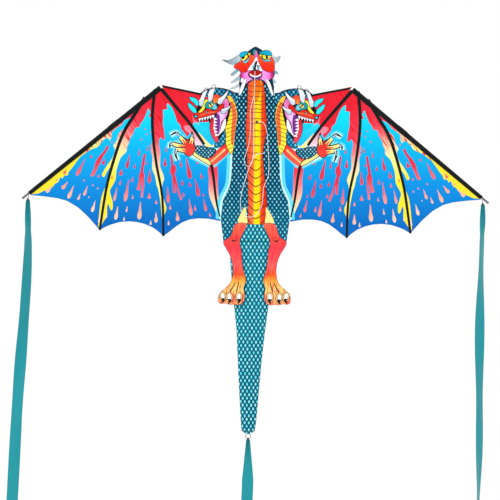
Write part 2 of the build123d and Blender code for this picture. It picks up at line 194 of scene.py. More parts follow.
line_diameter = 2.2 * MM
white_line = braided_line("white_braided_line", dye(246, 244, 240))
tow_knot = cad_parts["tow_knot"]
tow_knot.data.materials.clear()
tow_knot.data.materials.append(white_line)
bridle_runs = {
    "bridle_upper_line": ("bridle_upper_leg", 0.349, "knot", (tow_knot,), (
        (-7, -15, -88.5), (-9, -19, -205), (-11, -21, -322), (-9.3, -21, -437),
    )),
    "bridle_lower_line": ("bridle_lower_leg", 0.718, "object", (), (
        (7.5, -14, -297), (20, -15, -295), (33, -16, -303), (42, -18, -325), (48, -19, -362), (49, -20, -406),
        (54, -21, -452), (55, -20, -494), (51, -19, -526), (40, -20, -549), (31, -21, -572), (31, -22, -608),
        (26, -21, -645), (12, -20, -672), (-8, -21, -688), (-32, -22, -690), (-51, -21, -677),
        (-61, -20, -652), (-62, -20, -616), (-54, -21, -577), (-43, -22, -537), (-33, -20, -502),
        (-22, -18.5, -472), (-10, -19.6, -445),
    )),
    "bridle_slack_line": ("bridle_slack_strand", 0.351, "object", (), (
        (-9, -19, -190), (-20, -18, -224), (-26, -19, -262), (-23, -20, -305), (-24, -19, -350),
        (-29, -18, -392), (-41, -19, -428), (-49, -21, -455), (-45, -23, -476), (-28, -25, -484),
        (-14, -25, -464), (-10.2, -23.6, -444),
    )),
    "bridle_tag_line": ("bridle_tag_end", 0.049, "bare", (), (
        (-5.2, -21.5, -439), (4, -23, -431), (16, -22, -426), (29, -21, -429), (36, -20, -420),
    )),
}
for name, (node, length, far_end, pieces, route) in bridle_runs.items():
    curve = bpy.data.curves.new(name, "CURVE")
    curve.dimensions = "3D"
    curve.bevel_depth = line_diameter / 2
    curve.bevel_resolution = 3
    curve.resolution_u = 8
    curve.use_fill_caps = True
    spline = curve.splines.new("NURBS")
    spline.points.add(len(route) - 1)
    for point, (x, y, z) in zip(spline.points, route):
        point.co = (x * MM, y * MM, z * MM, 1.0)
    spline.order_u = 3
    spline.use_endpoint_u = True
    curve.materials.append(white_line)
    line = bpy.data.objects.new(name, curve)
    bpy.context.collection.objects.link(line)
    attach(line, "centre")
    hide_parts(node)


# Sail: thin ripstop nylon, dye-printed and cut in a left and a right half that are sewn together down the
# spine. Each half takes in its side of the body and one wing, and stretches over the frame, which holds it
# a little off flat: the panels between the tapes belly back, and the spreader and the seams show as soft
# ridges.
def vector_maths(tree, operation, *values):
    """A Vector Math node, with its values in order."""
    return add(tree, "ShaderNodeVectorMath", dict(enumerate(values)), operation=operation)


def nylon_group():
    """Printed ripstop: the cloth's square grid, its small puckers and a little unevenness in the dye."""
    group, takes, gives = shader_group(
        "printed_ripstop",
        [("Colour", "Color", (1, 1, 1, 1)), ("Pattern", "Vector", None), ("Grid", "Float", 150.0)],
        [("Colour", "Color"), ("Roughness", "Float"), ("Height", "Float")],
    )
    cells = add(group, "ShaderNodeVectorMath", {0: takes.outputs["Pattern"], "Scale": takes.outputs["Grid"]},
                operation="SCALE")
    part = vector_maths(group, "FRACTION", cells.outputs[0])
    middle = vector_maths(group, "SUBTRACT", part.outputs[0], (0.5, 0.5, 0.5))
    away = vector_maths(group, "ABSOLUTE", middle.outputs[0])
    sides = add(group, "ShaderNodeSeparateXYZ", {0: away.outputs[0]})
    edge = maths(group, "MAXIMUM", sides.outputs[0], sides.outputs[1])
    thread = add(group, "ShaderNodeMapRange", {"Value": edge.outputs[0], "From Min": 0.42, "From Max": 0.5})
    pucker = add(group, "ShaderNodeTexNoise",
                 {"Vector": takes.outputs["Pattern"], "Scale": 24.0, "Detail": 3.0})
    dyed = add(group, "ShaderNodeTexNoise",
               {"Vector": takes.outputs["Pattern"], "Scale": 70.0, "Detail": 2.0})
    value = add(group, "ShaderNodeMapRange", {"Value": dyed.outputs["Fac"], "To Min": 0.93, "To Max": 1.07})
    dulled = maths(group, "MULTIPLY_ADD", thread.outputs[0], -0.05, value.outputs[0])
    tint = add(group, "ShaderNodeHueSaturation",
               {"Value": dulled.outputs[0], "Color": takes.outputs["Colour"]})
    rough = add(group, "ShaderNodeMapRange", {"Value": dyed.outputs["Fac"], "To Min": 0.45, "To Max": 0.62})
    height = maths(group, "MULTIPLY_ADD", thread.outputs[0], 0.06, pucker.outputs["Fac"])
    group.links.new(tint.outputs["Color"], gives.inputs["Colour"])
    group.links.new(rough.outputs[0], gives.inputs["Roughness"])
    group.links.new(height.outputs[0], gives.inputs["Height"])
    return group


def scale_group():
    """A lattice of rounded scales, every other one half a step along: a soft mask that is 1 on a scale."""
    group, takes, gives = shader_group(
        "printed_scales",
        [("Pattern", "Vector", None), ("Pitch", "Vector", (0.02, 0.03, 1)), ("Size", "Float", 0.3)],
        [("Mask", "Float"), ("Shade", "Float")],
    )
    lattices = []
    for half_step in (0.0, 0.5):
        cells = vector_maths(group, "DIVIDE", takes.outputs["Pattern"], takes.outputs["Pitch"])
        shifted = vector_maths(group, "ADD", cells.outputs[0], (half_step, half_step, 0))
        part = vector_maths(group, "FRACTION", shifted.outputs[0])
        middle = vector_maths(group, "SUBTRACT", part.outputs[0], (0.5, 0.5, 0.0))
        lattices.append(vector_maths(group, "LENGTH", middle.outputs[0]).outputs["Value"])
    nearest = maths(group, "MINIMUM", lattices[0], lattices[1])
    over = maths(group, "DIVIDE", nearest.outputs[0], takes.outputs["Size"])
    mask = add(group, "ShaderNodeMapRange", {"Value": over.outputs[0], "From Min": 1.1, "From Max": 0.8})
    shade = add(group, "ShaderNodeTexNoise", {"Vector": takes.outputs["Pattern"], "Scale": 55.0})
    group.links.new(mask.outputs[0], gives.inputs["Mask"])
    group.links.new(shade.outputs["Fac"], gives.inputs["Shade"])
    return group


printed_ripstop = nylon_group()
printed_scales = scale_group()
inks = {}


def ink(name, stops, slope=(0.0, 1.0), scales=None, streaks=None):
    """A printed colour, or a blend of stops of (distance, colour) along a slope of the pattern, in mm.
    Scales are (pitch across, pitch up, size, colour, lighter colour).
    Streaks are a colour that runs with the cloth."""
    material, tree, shader = surface(name, 0.5, specular=0.1)
    pattern = add(tree, "ShaderNodeUVMap", uv_map="pattern").outputs["UV"]
    base = add(tree, "ShaderNodeGroup", {"Pattern": pattern}, node_tree=printed_ripstop)
    colour = stops[0][1]
    if len(stops) > 1:
        mirror = vector_maths(tree, "ABSOLUTE", pattern)
        steer = (slope[0] * 1000, -slope[1] * 1000, 0)
        run = vector_maths(tree, "DOT_PRODUCT", mirror.outputs[0], steer)
        low, high = stops[0][0], stops[-1][0]
        reach = add(tree, "ShaderNodeMapRange",
                    {"Value": run.outputs["Value"], "From Min": low, "From Max": high})
        ramp = add(tree, "ShaderNodeValToRGB", {"Fac": reach.outputs[0]})
        while len(ramp.color_ramp.elements) < len(stops):
            ramp.color_ramp.elements.new(0.5)
        for element, (distance, shade) in zip(ramp.color_ramp.elements, stops):
            element.position = (distance - low) / (high - low)
            element.color = shade
        colour = ramp.outputs["Color"]
    if streaks:
        streak_colour, turn = streaks
        turned = add(tree, "ShaderNodeVectorRotate", {"Vector": pattern, "Angle": radians(turn)},
                     rotation_type="Z_AXIS")
        drawn = vector_maths(tree, "MULTIPLY", turned.outputs[0], (210.0, 16.0, 1.0))
        noise = add(tree, "ShaderNodeTexNoise", {"Vector": drawn.outputs[0], "Scale": 1.0, "Detail": 2.0})
        part = add(tree, "ShaderNodeMapRange",
                   {"Value": noise.outputs["Fac"], "From Min": 0.5, "From Max": 0.62})
        colour = mixed(tree, part.outputs[0], colour, streak_colour)
    if scales:
        across, up, size, shade, light = scales
        lattice = add(tree, "ShaderNodeGroup", {"Pattern": pattern, "Size": size}, node_tree=printed_scales)
        lattice.inputs["Pitch"].default_value = (across * MM, up * MM, 1.0)
        pale = add(tree, "ShaderNodeMapRange",
                   {"Value": lattice.outputs["Shade"], "From Min": 0.42, "From Max": 0.62})
        scale_colour = mixed(tree, pale.outputs[0], shade, light)
        colour = mixed(tree, lattice.outputs["Mask"], colour, scale_colour)
    if isinstance(colour, bpy.types.NodeSocket):
        tree.links.new(colour, base.inputs["Colour"])
    else:
        base.inputs["Colour"].default_value = colour
    finish_from(tree, shader, base, 0.0035)
    inks[name] = material
    return material


def mixed(tree, factor, first, second):
    """Two colours mixed by a factor."""
    made = add(tree, "ShaderNodeMix", {"Factor": factor, 6: first, 7: second}, data_type="RGBA")
    return made.outputs[2]


def rounded(near, steps):
    """Places on a smooth bend from the second to the third of four points, without its end."""
    a, b, c, d = (np.array(point, float) for point in near)
    bend = []
    for step in range(steps):
        t = step / steps
        cubic = (3 * b - a - 3 * c + d) * t ** 3
        bend.append(0.5 * ((2 * b) + (c - a) * t + (2 * a - 5 * b + 4 * c - d) * t * t + cubic))
    return bend


def soft(points, steps=3):
    """A closed outline rounded through its points."""
    count, outline = len(points), []
    for i in range(count):
        outline += rounded([points[(i + k) % count] for k in (-1, 0, 1, 2)], steps)
    return [tuple(place) for place in outline]


def stroke(points, start_width, end_width, steps=3):
    """The outline of a brushed line through points, its width going from the first to the last."""
    path = []
    for i in range(len(points) - 1):
        path += rounded([points[max(i - 1, 0)], points[i], points[i + 1],
                         points[min(i + 2, len(points) - 1)]], steps)
    path.append(np.array(points[-1], float))
    left, right = [], []
    for i, point in enumerate(path):
        run = path[min(i + 1, len(path) - 1)] - path[max(i - 1, 0)]
        side = np.array((-run[1], run[0])) / max(hypot(*run), 0.001)
        half = (start_width + (end_width - start_width) * i / (len(path) - 1)) / 2
        left.append(tuple(point + side * half))
        right.append(tuple(point - side * half))
    return left + right[::-1]


def oval(x, z, width, height, turn=0.0, sides=14):
    """An oval outline, turned anticlockwise by degrees."""
    bend = radians(turn)
    ring = [(width / 2 * cos(2 * pi * n / sides), height / 2 * sin(2 * pi * n / sides)) for n in range(sides)]
    return [(x + a * cos(bend) - b * sin(bend), z + a * sin(bend) + b * cos(bend)) for a, b in ring]


def drop(x, z, width, length, lean=None):
    """A splash of colour: a thin top, a fat foot, leaning away from the wing's apex."""
    if lean is None:
        lean = atan2(0.55 * (x - 401), -(z + 152))
    else:
        lean = radians(lean)
    half, tall = width / 2, length / 2
    shape = [(0, tall), (half * 0.42, tall * 0.45), (half * 0.5, 0), (half, -tall * 0.5),
             (half * 0.62, -tall * 0.92), (0, -tall), (-half * 0.62, -tall * 0.92),
             (-half, -tall * 0.5), (-half * 0.6, 0), (-half * 0.3, tall * 0.5)]
    turned = [(x + a * cos(lean) - b * sin(lean), z + a * sin(lean) + b * cos(lean)) for a, b in shape]
    return soft(turned, 2)


def within(places, outline):
    """Which of the places lie inside the outline, where an outline that crosses itself is filled."""
    turns = np.zeros(len(places), int)
    x, z = places[:, 0], places[:, 1]
    for (ax, az), (bx, bz) in zip(outline, outline[1:] + outline[:1]):
        if az == bz:
            continue
        crossing = (az > z) != (bz > z)
        turns += (crossing & (x < (bx - ax) * (z - az) / (bz - az) + ax)) * (1 if bz > az else -1)
    return turns != 0


def cloth_piece(name, places, faces, materials, spots):
    """A piece of cloth: places in metres, faces, materials, and each place's spot on the pattern."""
    mesh = bpy.data.meshes.new(name)
    mesh.from_pydata(places, [], faces)
    for material in materials:
        mesh.materials.append(material)
    loops = np.empty(len(mesh.loops), int)
    mesh.loops.foreach_get("vertex_index", loops)
    mesh.uv_layers.new(name="pattern").data.foreach_set("uv", np.array(spots, float)[loops].ravel())
    mesh.polygons.foreach_set("use_smooth", [True] * len(mesh.polygons))
    mesh.update()
    cloth = bpy.data.objects.new(name, mesh)
    bpy.context.collection.objects.link(cloth)
    return cloth


def printed_cloth(name, prints, depth, side=1, spacing=15.0, thickness=0.4, keep=None):
    """A sheet of cloth cut to the outlines of its prints; the last print on a place gives its colour.
    Depth gives the cloth's place from front to back, in mm; side mirrors it for the left."""
    points, edges = [], []
    for _, outline in prints:
        first = len(points)
        points += [Vector(place) for place in outline]
        edges += [(first + i, first + (i + 1) % len(outline)) for i in range(len(outline))]
    across = [place.x for place in points]
    up = [place.y for place in points]
    for row, z in enumerate(np.arange(min(up), max(up), spacing * 0.866)):
        for x in np.arange(min(across) + spacing / 2 * (row % 2), max(across), spacing):
            points.append(Vector((x, z)))
    spots, _, triangles, *_ = delaunay_2d_cdt(points, edges, [], 0, 0.02)
    spots = np.array([tuple(spot) for spot in spots])
    triangles = np.array([tuple(corners) for corners in triangles])
    centres = spots[triangles].mean(axis=1)
    cover = np.full(len(triangles), -1)
    for number, (_, outline) in enumerate(prints):
        cover[within(centres, [tuple(place) for place in outline])] = number
    if keep:
        cover[~within(centres, keep)] = -1
    spans = spots[triangles[:, 1]] - spots[triangles[:, 0]], spots[triangles[:, 2]] - spots[triangles[:, 0]]
    areas = np.abs(spans[0][:, 0] * spans[1][:, 1] - spans[0][:, 1] * spans[1][:, 0]) / 2
    chosen = (cover >= 0) & (areas > 0.02)
    triangles, cover = triangles[chosen], cover[chosen]
    used = np.unique(triangles)
    place_of = {int(spot): i for i, spot in enumerate(used)}
    triangles = [[place_of[int(corner)] for corner in corners] for corners in triangles]
    flat = spots[used]
    front = [(side * x * MM, depth(x, z) * MM, z * MM) for x, z in flat]
    back = [(x, y + thickness * MM, z) for x, y, z in front]
    uses = {}
    for corners in triangles:
        for a, b in zip(corners, corners[1:] + corners[:1]):
            uses.setdefault((min(a, b), max(a, b)), []).append((a, b))
    count = len(front)
    rim = [turns[0] for turns in uses.values() if len(turns) == 1]
    faces = triangles + [[count + corner for corner in corners[::-1]] for corners in triangles]
    faces += [[b, a, count + a, count + b] for a, b in rim]
    if side < 0:
        faces = [corners[::-1] for corners in faces]
    colours = list(cover) * 2
    owner = {}
    for corners, number in zip(triangles, cover):
        for a, b in zip(corners, corners[1:] + corners[:1]):
            owner[(a, b)] = number
    colours += [owner[turn] for turn in rim]
    names = [print_name for print_name, _ in prints]
    order = list(dict.fromkeys(names))
    spots = np.vstack((flat, flat)) * MM * (side, 1)
    cloth = cloth_piece(name, front + back, faces, [inks[print_name] for print_name in order], spots)
    cloth.data.polygons.foreach_set("material_index", [order.index(names[number]) for number in colours])
    cloth.data.update()
    return cloth


# Pattern lines, in mm from the top of the spine: the fan of folds that the tapes cover, and the cut edges
outer_fold = ((458, -201), (508, -284), (538, -333), (563, -392), (593, -491), (615, -585), (639, -749))
middle_fold = ((418, -167), (427, -267), (424, -357), (408, -478), (383, -608), (377, -771))
inner_fold = ((393, -164), (328, -241), (268, -313), (213, -392), (183, -474), (173, -528),
              (162, -615), (146, -688))
front_edge_line = ((401, -152), (965, -614))
seam_line = ((60, -100), (73, -194), (88, -240), (92, -320), (97, -430), (100, -520), (108, -567),
             (134, -622), (142, -698), (130, -790))
sail_front = -11.4
spreader_z = -321.0
tuck_start, tuck_across, tuck_down, tuck_length = (190, -555), 0.46, 0.89, 150


def across_at(line, z):
    """Where a line that runs down the sail is, at a height."""
    return float(np.interp(-z, [-point[1] for point in line], [point[0] for point in line]))


def ridge(distance, width):
    """A soft ridge's height, 1 on its line."""
    return exp(-(distance / width) ** 2)


def sail_depth(x, z):
    """The depth of the sail's front: ridges at seams and spars, panels that belly back between them."""
    lines = [0.0, across_at(seam_line, z)]
    if z < -164:
        lines += [across_at(fold, z) for fold in (inner_fold, middle_fold, outer_fold)]
        lines += [across_at(front_edge_line, z)]
    lines = sorted(lines)
    slack = 2.2 + 0.019 * max(0.0, -z - 330)
    belly = 0.0
    for low, high in zip(lines, lines[1:]):
        if low <= x <= high and high - low > 1:
            room = min(1.0, (high - low) / 110)
            belly = slack * room * sin(pi * (x - low) / (high - low))
            if high <= across_at(seam_line, z) + 1:
                belly *= 0.4
    crease = -1.1 * ridge(z - spreader_z, 9) * (x > 60)
    from_x, from_z = x - tuck_start[0], z - tuck_start[1]
    along_tuck = from_x * tuck_across - from_z * tuck_down
    tuck = -1.6 * ridge(from_x * tuck_down + from_z * tuck_across, 9) * (0 < along_tuck < tuck_length)
    flutter = 1.5 * sin(x / 21.0 + z / 60.0) * max(0.0, min(1.0, (-z - 560) / 160)) * (x > 150)
    return sail_front + belly + crease + tuck + flutter


# The print on the wings: a blue ground, fire that runs down from the leading edge and beside each fold, and
# splashes of the same fire. Everything is drawn once for one wing and mirrored for the other.
ink("wing_blue", [(-720, dye(0, 105, 190)), (-560, dye(0, 140, 220)), (-400, dye(0, 180, 235)),
                  (-240, dye(0, 222, 240))])
fire_stops = [
    (-900, dye(250, 226, 50)), (-800, dye(252, 246, 140)), (-735, dye(252, 212, 170)),
    (-672, dye(245, 128, 128)), (-610, dye(236, 62, 84)), (-480, dye(228, 32, 52)),
]
ink("fire", fire_stops, slope=(-0.62, 1.0), streaks=(dye(222, 12, 26), -32))
ink("ember", fire_stops, slope=(-0.62, 1.0))
ink("splash", [(-850, dye(252, 214, 186)), (-790, dye(246, 178, 150)), (-715, dye(238, 112, 118)),
               (-630, dye(226, 48, 72))],
    slope=(-0.25, 1.0))
ink("wedge", [(-405, dye(252, 240, 160)), (-350, dye(250, 204, 150)), (-292, dye(244, 104, 120))])
ink("blush", [(-405, dye(248, 226, 240)), (-335, dye(242, 130, 150))])
ink("line_black", [(0, dye(16, 20, 24))])
ink("white", [(0, dye(246, 246, 250))])
ink("sky", [(-470, dye(0, 150, 215)), (-250, dye(40, 226, 245))])

wing_outline = [
    (73, -194), (92, -178), (118, -166), (150, -160), (180, -160), (208, -168), (233, -184), (392, -150),
    (382, -162.6), (925, -607.5), (862, -613), (815, -619), (775, -630), (730, -656), (690, -692),
    (660, -725), (639, -749), (615, -735), (595, -726), (560, -715), (520, -711), (486, -714), (456, -721),
    (420, -736), (395, -754), (377, -771), (352, -752), (328, -732), (300, -713), (270, -701), (234, -696),
    (194, -697), (144, -706),
] + [tuple(point) for point in seam_line[7:0:-1]]
body_outline = [(0, -20), (54, -20)] + list(seam_line) + [(0, -790)]
wing_print = [("wing_blue", wing_outline)]
wing_print += [("fire", [
    (236, -181), (392, -148), (382, -163), (760, -472), (782, -490), (765, -494), (746, -480), (724, -450),
    (686, -421), (667, -414), (650, -406), (640, -420), (600, -455), (560, -450), (500, -440), (430, -440),
    (390, -460), (330, -420), (281, -363), (257, -300), (200, -300), (150, -250), (200, -190),
])]
wing_print += [("ember", soft([
    (716, -425), (777, -474), (819, -510), (868, -549), (925, -601), (908, -602), (892, -600), (872, -590),
    (852, -584), (834, -572), (826, -560), (812, -552), (804, -532), (796, -538), (786, -524), (776, -526),
    (768, -508), (756, -494), (740, -470), (724, -448),
]))]
for points in (
    [(496, -266), (511, -281), (542, -297), (553, -314), (575, -330), (592, -344), (595, -364),
     (601, -378), (612, -368), (636, -384), (649, -405), (684, -421), (708, -452), (700, -500), (640, -480),
     (591, -453), (581, -429), (578, -412), (587, -401), (573, -380), (569, -362), (562, -347), (542, -327),
     (525, -304), (506, -279)],
    [(445, -246), (451, -263), (458, -279), (465, -295), (476, -310), (481, -323), (498, -328), (505, -349),
     (519, -372), (523, -389), (530, -405), (533, -420), (542, -434), (557, -448), (560, -500), (430, -500),
     (426, -445), (432, -423), (429, -402), (428, -367), (433, -341), (430, -329), (427, -297), (431, -282),
     (442, -280), (436, -262)],
    [(366, -224), (368, -236), (367, -249), (384, -252), (383, -277), (384, -309), (380, -331),
     (377, -352), (376, -373), (388, -370), (394, -364), (399, -382), (398, -403), (392, -435), (391, -500),
     (280, -500), (240, -420), (280, -363), (298, -341), (308, -329), (313, -312), (325, -300), (330, -284),
     (338, -262), (348, -241)],
):
    wing_print.append(("wing_blue", soft(points)))
for points in (
    [(560, -385), (585, -403), (579, -416), (590, -452), (610, -480), (633, -520), (623, -530),
     (612, -508), (596, -485), (585, -462), (574, -425)],
    [(553, -395), (532, -414), (535, -428), (553, -445), (562, -465), (571, -494), (574, -514),
     (577, -543), (592, -571), (599, -591), (587, -632), (588, -664), (596, -664), (604, -640), (610, -651),
     (609, -686), (617, -703), (632, -727), (639, -742), (627, -660), (614, -585), (593, -491),
     (568, -400)],
    [(604, -540), (612, -559), (623, -584), (633, -613), (641, -671), (645, -730), (637, -735),
     (627, -660), (614, -585)],
    [(432, -395), (428, -418), (425, -447), (426, -493), (414, -522), (407, -560), (401, -575),
     (394, -610), (388, -650), (384, -694), (377, -688), (368, -668), (366, -651), (372, -634), (380, -607),
     (384, -581), (382, -552), (376, -535), (382, -512), (393, -485), (393, -453), (395, -419),
     (400, -395)],
    [(196, -470), (192, -535), (193, -575), (187, -611), (168, -655), (152, -690), (150, -640),
     (153, -588), (155, -561), (158, -474), (180, -460)],
):
    wing_print.append(("ember", soft(points, 2)))
wing_print.append(("wedge", soft([
    (262, -269), (254, -289), (229, -315), (204, -346), (179, -377), (172, -399), (188, -402), (208, -399),
    (226, -365), (243, -332), (259, -299),
])))
wing_print.append(("blush", soft([
    (299, -320), (281, -314), (266, -321), (243, -356), (216, -400), (236, -405), (256, -402), (262, -375),
    (266, -350), (274, -344), (286, -340),
], 2)))
wing_print.append(("sky", soft([
    (256, -300), (232, -312), (196, -331), (193, -355), (174, -386), (182, -396), (206, -374), (232, -346),
    (258, -322),
], 2)))
wing_print.append(("splash",
                   stroke([(608, -402), (620, -424), (646, -462), (656, -490), (672, -524)], 9, 14)))
wing_print.append(("splash",
                   soft([(634, -434), (650, -452), (662, -478), (664, -500), (654, -498), (640, -470),
                         (630, -448)])))
for foot in (((457, -434), (470, -512), (474, -545), (483, -582), 9, 15),
             ((464, -520), (462, -560), (466, -590), (468, -612), 8, 9),
             ((349, -435), (343, -480), (338, -530), (334, -592), 8, 10),
             ((335, -520), (325, -560), (316, -590), (304, -620), 8, 9)):
    wing_print.append(("splash", stroke(foot[:4], foot[4], foot[5])))
wing_print.append(("splash", oval(469, -528, 23, 44, 4)))
wing_print.append(("splash", oval(340, -498, 24, 46, 6)))
for x, z, width, length, *lean in (
    (625, -467, 14, 24), (525, -463, 13, 60), (498, -483, 9, 20), (553, -509, 15, 28), (507, -538, 9, 22),
    (557, -552, 9, 20), (436, -524, 14, 58), (529, -582, 16, 95), (575, -598, 11, 60), (437, -605, 15, 24),
    (408, -630, 10, 18), (665, -650, 14, 50), (570, -676, 15, 58), (529, -660, 8, 26), (475, -665, 18, 75),
    (408, -693, 15, 44), (649, -576, 8, 9), (669, -563, 8, 9), (646, -526, 10, 11), (374, -466, 13, 35),
    (278, -489, 18, 90), (309, -471, 8, 30), (241, -462, 11, 20), (270, -556, 12, 20), (302, -549, 11, 22),
    (360, -599, 14, 70), (241, -569, 16, 75), (268, -649, 15, 70), (248, -653, 9, 25), (320, -688, 16, 40),
    (356, -715, 9, 20), (691, -417, 11, 22), (677, -445, 10, 14), (634, -382, 8, 9), (592, -384, 6, 12),
    (719, -490, 15, 80), (674, -523, 10, 11), (706, -544, 8, 9), (784, -510, 14, 22), (817, -544, 9, 10),
    (784, -565, 15, 40, 40), (847, -581, 15, 40, 45), (759, -592, 16, 60), (725, -611, 10, 30),
    (698, -586, 12, 45), (685, -613, 6, 7), (457, -330, 7, 8), (450, -352, 7, 8), (471, -373, 8, 9),
    (444, -408, 8, 24), (480, -426, 7, 30), (370, -413, 8, 22), (187, -680, 8, 18), (208, -640, 12, 54),
    (224, -520, 10, 26), (296, -598, 9, 18), (452, -470, 8, 14), (590, -530, 7, 14), (505, -610, 8, 18),
    (540, -700, 8, 16), (430, -715, 9, 20), (350, -650, 9, 22), (612, -690, 8, 16), (640, -702, 9, 30),
    (214, -600, 7, 14),
):
    wing_print.append(("splash", drop(x, z, width, length, *lean)))
for line, top, foot in ((outer_fold, 13, 8), (middle_fold, 11, 7), (inner_fold[:4], 12, 9),
                        (inner_fold[4:], 9, 6)):
    wing_print.append(("line_black", stroke([(x, z) for x, z in line], top + 3, foot + 2)))


# The print on the body: dark teal scales with pale dots down the neck and flanks, a strip of belly plates in
# red, gold and orange, and the folded arm and hand of the beast laid over each wing's root.
ink("body_scales", [(-790, dye(0, 84, 112)), (-500, dye(2, 50, 76)), (-150, dye(4, 36, 60))],
    scales=(17.5, 25, 0.2, dye(58, 176, 208), dye(132, 226, 244)))
ink("neck_scales", [(-420, dye(0, 90, 120)), (-160, dye(6, 56, 86))],
    scales=(18, 23, 0.24, dye(20, 140, 186), dye(110, 212, 240)))
ink("arm_scales", [(-450, dye(0, 70, 92)), (-380, dye(6, 52, 84))],
    scales=(15, 17, 0.21, dye(70, 180, 206), dye(190, 238, 248)))
ink("belly_left", [(0, dye(255, 222, 20)), (6, dye(252, 200, 40)), (10, dye(240, 112, 60)),
                   (44, dye(230, 56, 36))],
    slope=(1.0, 0.0))
ink("belly_right", [(0, dye(255, 224, 0)), (16, dye(255, 214, 10)), (22, dye(238, 76, 26)),
                    (44, dye(224, 30, 12))],
    slope=(1.0, 0.0))
ink("belly_top", [(-215, dye(245, 150, 10)), (-130, dye(238, 92, 8))])
ink("horn_grey", [(-240, dye(186, 204, 220)), (-150, dye(240, 244, 248))])
ink("cream", [(0, dye(252, 230, 140))])
ink("coral", [(-480, dye(238, 92, 74)), (-380, dye(232, 40, 40))])
ink("palm_red", [(-450, dye(240, 70, 60)), (-350, dye(214, 22, 30))])
ink("peach", [(0, dye(248, 190, 120))])
ink("gold", [(-440, dye(252, 236, 80)), (-300, dye(252, 226, 40)), (-190, dye(246, 190, 60))])
ink("sunset", [(0, dye(238, 104, 60))])
ink("brown", [(0, dye(120, 66, 20))])
ink("glow_white", [(0, dye(206, 246, 250))])
ink("glow_cyan", [(0, dye(96, 214, 236))])
ink("plate_line", [(0, dye(110, 40, 16))])

arm_upper = [(119, -386), (140, -398), (172, -424), (206, -452), (198, -474), (182, -482),
             (152, -462), (112, -424)]
arm_scaled = soft([(246, -400), (219, -400), (190, -407), (166, -413), (176, -436), (202, -447),
                   (226, -440), (250, -420)])
arm_under = soft([(248, -414), (264, -428), (232, -452), (202, -470), (184, -476), (196, -456), (226, -440)])
palm = soft([(280, -374), (263, -361), (256, -384), (251, -411), (260, -430), (276, -440),
             (292, -430), (301, -411), (303, -386), (297, -366)])
hand_bones = (
    [(290, -388), (303, -372), (313, -362)], [(294, -402), (318, -398), (343, -390)],
    [(290, -418), (308, -415), (328, -413)],
    [(268, -390), (264, -374), (264, -362)],
)
hand_claws = (
    [(318, -356), (330, -344), (352, -356)], [(343, -390), (353, -394), (354, -408)],
    [(326, -413), (331, -432), (322, -458)],
    [(265, -364), (262, -350), (266, -338)],
)
glow = [("glow_cyan", 22), ("glow_white", 8)]
arm_print = []
flank = [(x + 9, z) for x, z in seam_line if z < -420 and z > -710]
arm_print.append(("glow_cyan", stroke(flank, 24, 24)))
arm_print.append(("glow_white", stroke([(x - 7, z) for x, z in flank], 11, 11)))
for glow_ink, reach in glow:
    for bone in hand_bones[:3] + hand_claws[:3] + ([(120, -400), (160, -435), (190, -465)],
                                                   [(180, -460), (220, -440), (262, -420)]):
        wide = 16 if bone in hand_bones else 9
        wide = 40 if bone[0][0] < 200 else wide
        arm_print.append((glow_ink, stroke(bone, wide + reach, wide + reach, 2)))
arm_print.append(("line_black", soft(arm_upper)))
arm_print.append(("coral", soft([(x * 0.985 + 3, z * 0.985 - 7) for x, z in arm_upper])))
arm_print.append(("peach", stroke([(126, -410), (156, -438), (188, -466)], 9, 7)))
for outline, fill in ((arm_under, "cream"), (arm_scaled, "arm_scales"), (palm, "palm_red")):
    arm_print.append(("line_black", stroke(list(outline) + [outline[0]], 6, 6, 1)))
    arm_print.append((fill, outline))
for bone, claw in zip(hand_bones, hand_claws):
    arm_print.append(("line_black", stroke(bone, 24, 21)))
    arm_print.append(("cream", stroke(bone, 15, 12)))
    arm_print.append(("sunset", stroke(bone[:2], 12, 2)))
    arm_print.append(("line_black", stroke(claw, 16, 4)))
    arm_print.append(("horn_grey", stroke(claw[:2], 8, 3)))

body_print = [("body_scales", body_outline)]
hip_wedges = {
    -1: [(41, -645), (36, -680), (31, -712), (50, -716), (72, -710), (61, -677)],
    1: [(45, -647), (72, -691), (77, -712), (56, -716), (40, -712), (44, -680)],
}
belly_edges = {
    -1: [(35, -140), (37, -245), (42, -295), (42, -332), (40, -382), (36, -432), (31, -560), (28, -716)],
    1: [(27, -137), (35, -182), (37, -232), (42, -282), (42, -332), (32, -394), (27, -432), (38, -540),
        (48, -635), (38, -716)],
}
plate_bars = (149, 170, 192, 210, 225, 242, 257, 282, 302, 332, 357, 392, 424, 452)
chevrons = range(484, 716, 33)


def belly_print(side):
    """The belly strip on one side of the spine: ground, darker plate lines, chevrons low down."""
    edge = belly_edges[side]
    fill = "belly_left" if side < 0 else "belly_right"
    drawn = [("line_black", [(0, -124), (26, -128)] + [(x + 2.5, z) for x, z in edge] + [(0, -722)])]
    drawn.append((fill, [(0, -127), (22, -130)] + edge + [(0, -720)]))
    drawn.append(("belly_top", soft([(0, -127), (14, -129), (20, -150), (14, -185), (0, -215)])))
    for number, z in enumerate(plate_bars):
        reach = float(np.interp(z, [-point[1] for point in edge], [point[0] for point in edge]))
        drop_by = 5 if number % 2 else 3
        drawn.append(("plate_line",
                      stroke([(0, -z), (reach * 0.5, -z - drop_by * 0.6), (reach, -z + 3)], 3.4, 2.4)))
    for z in chevrons:
        reach = float(np.interp(z, [-point[1] for point in edge], [point[0] for point in edge]))
        drawn.append(("plate_line",
                      stroke([(0, -z - 14), (reach * 0.5, -z - 4), (reach, -z + 14)], 4.2, 3.0)))
    return drawn


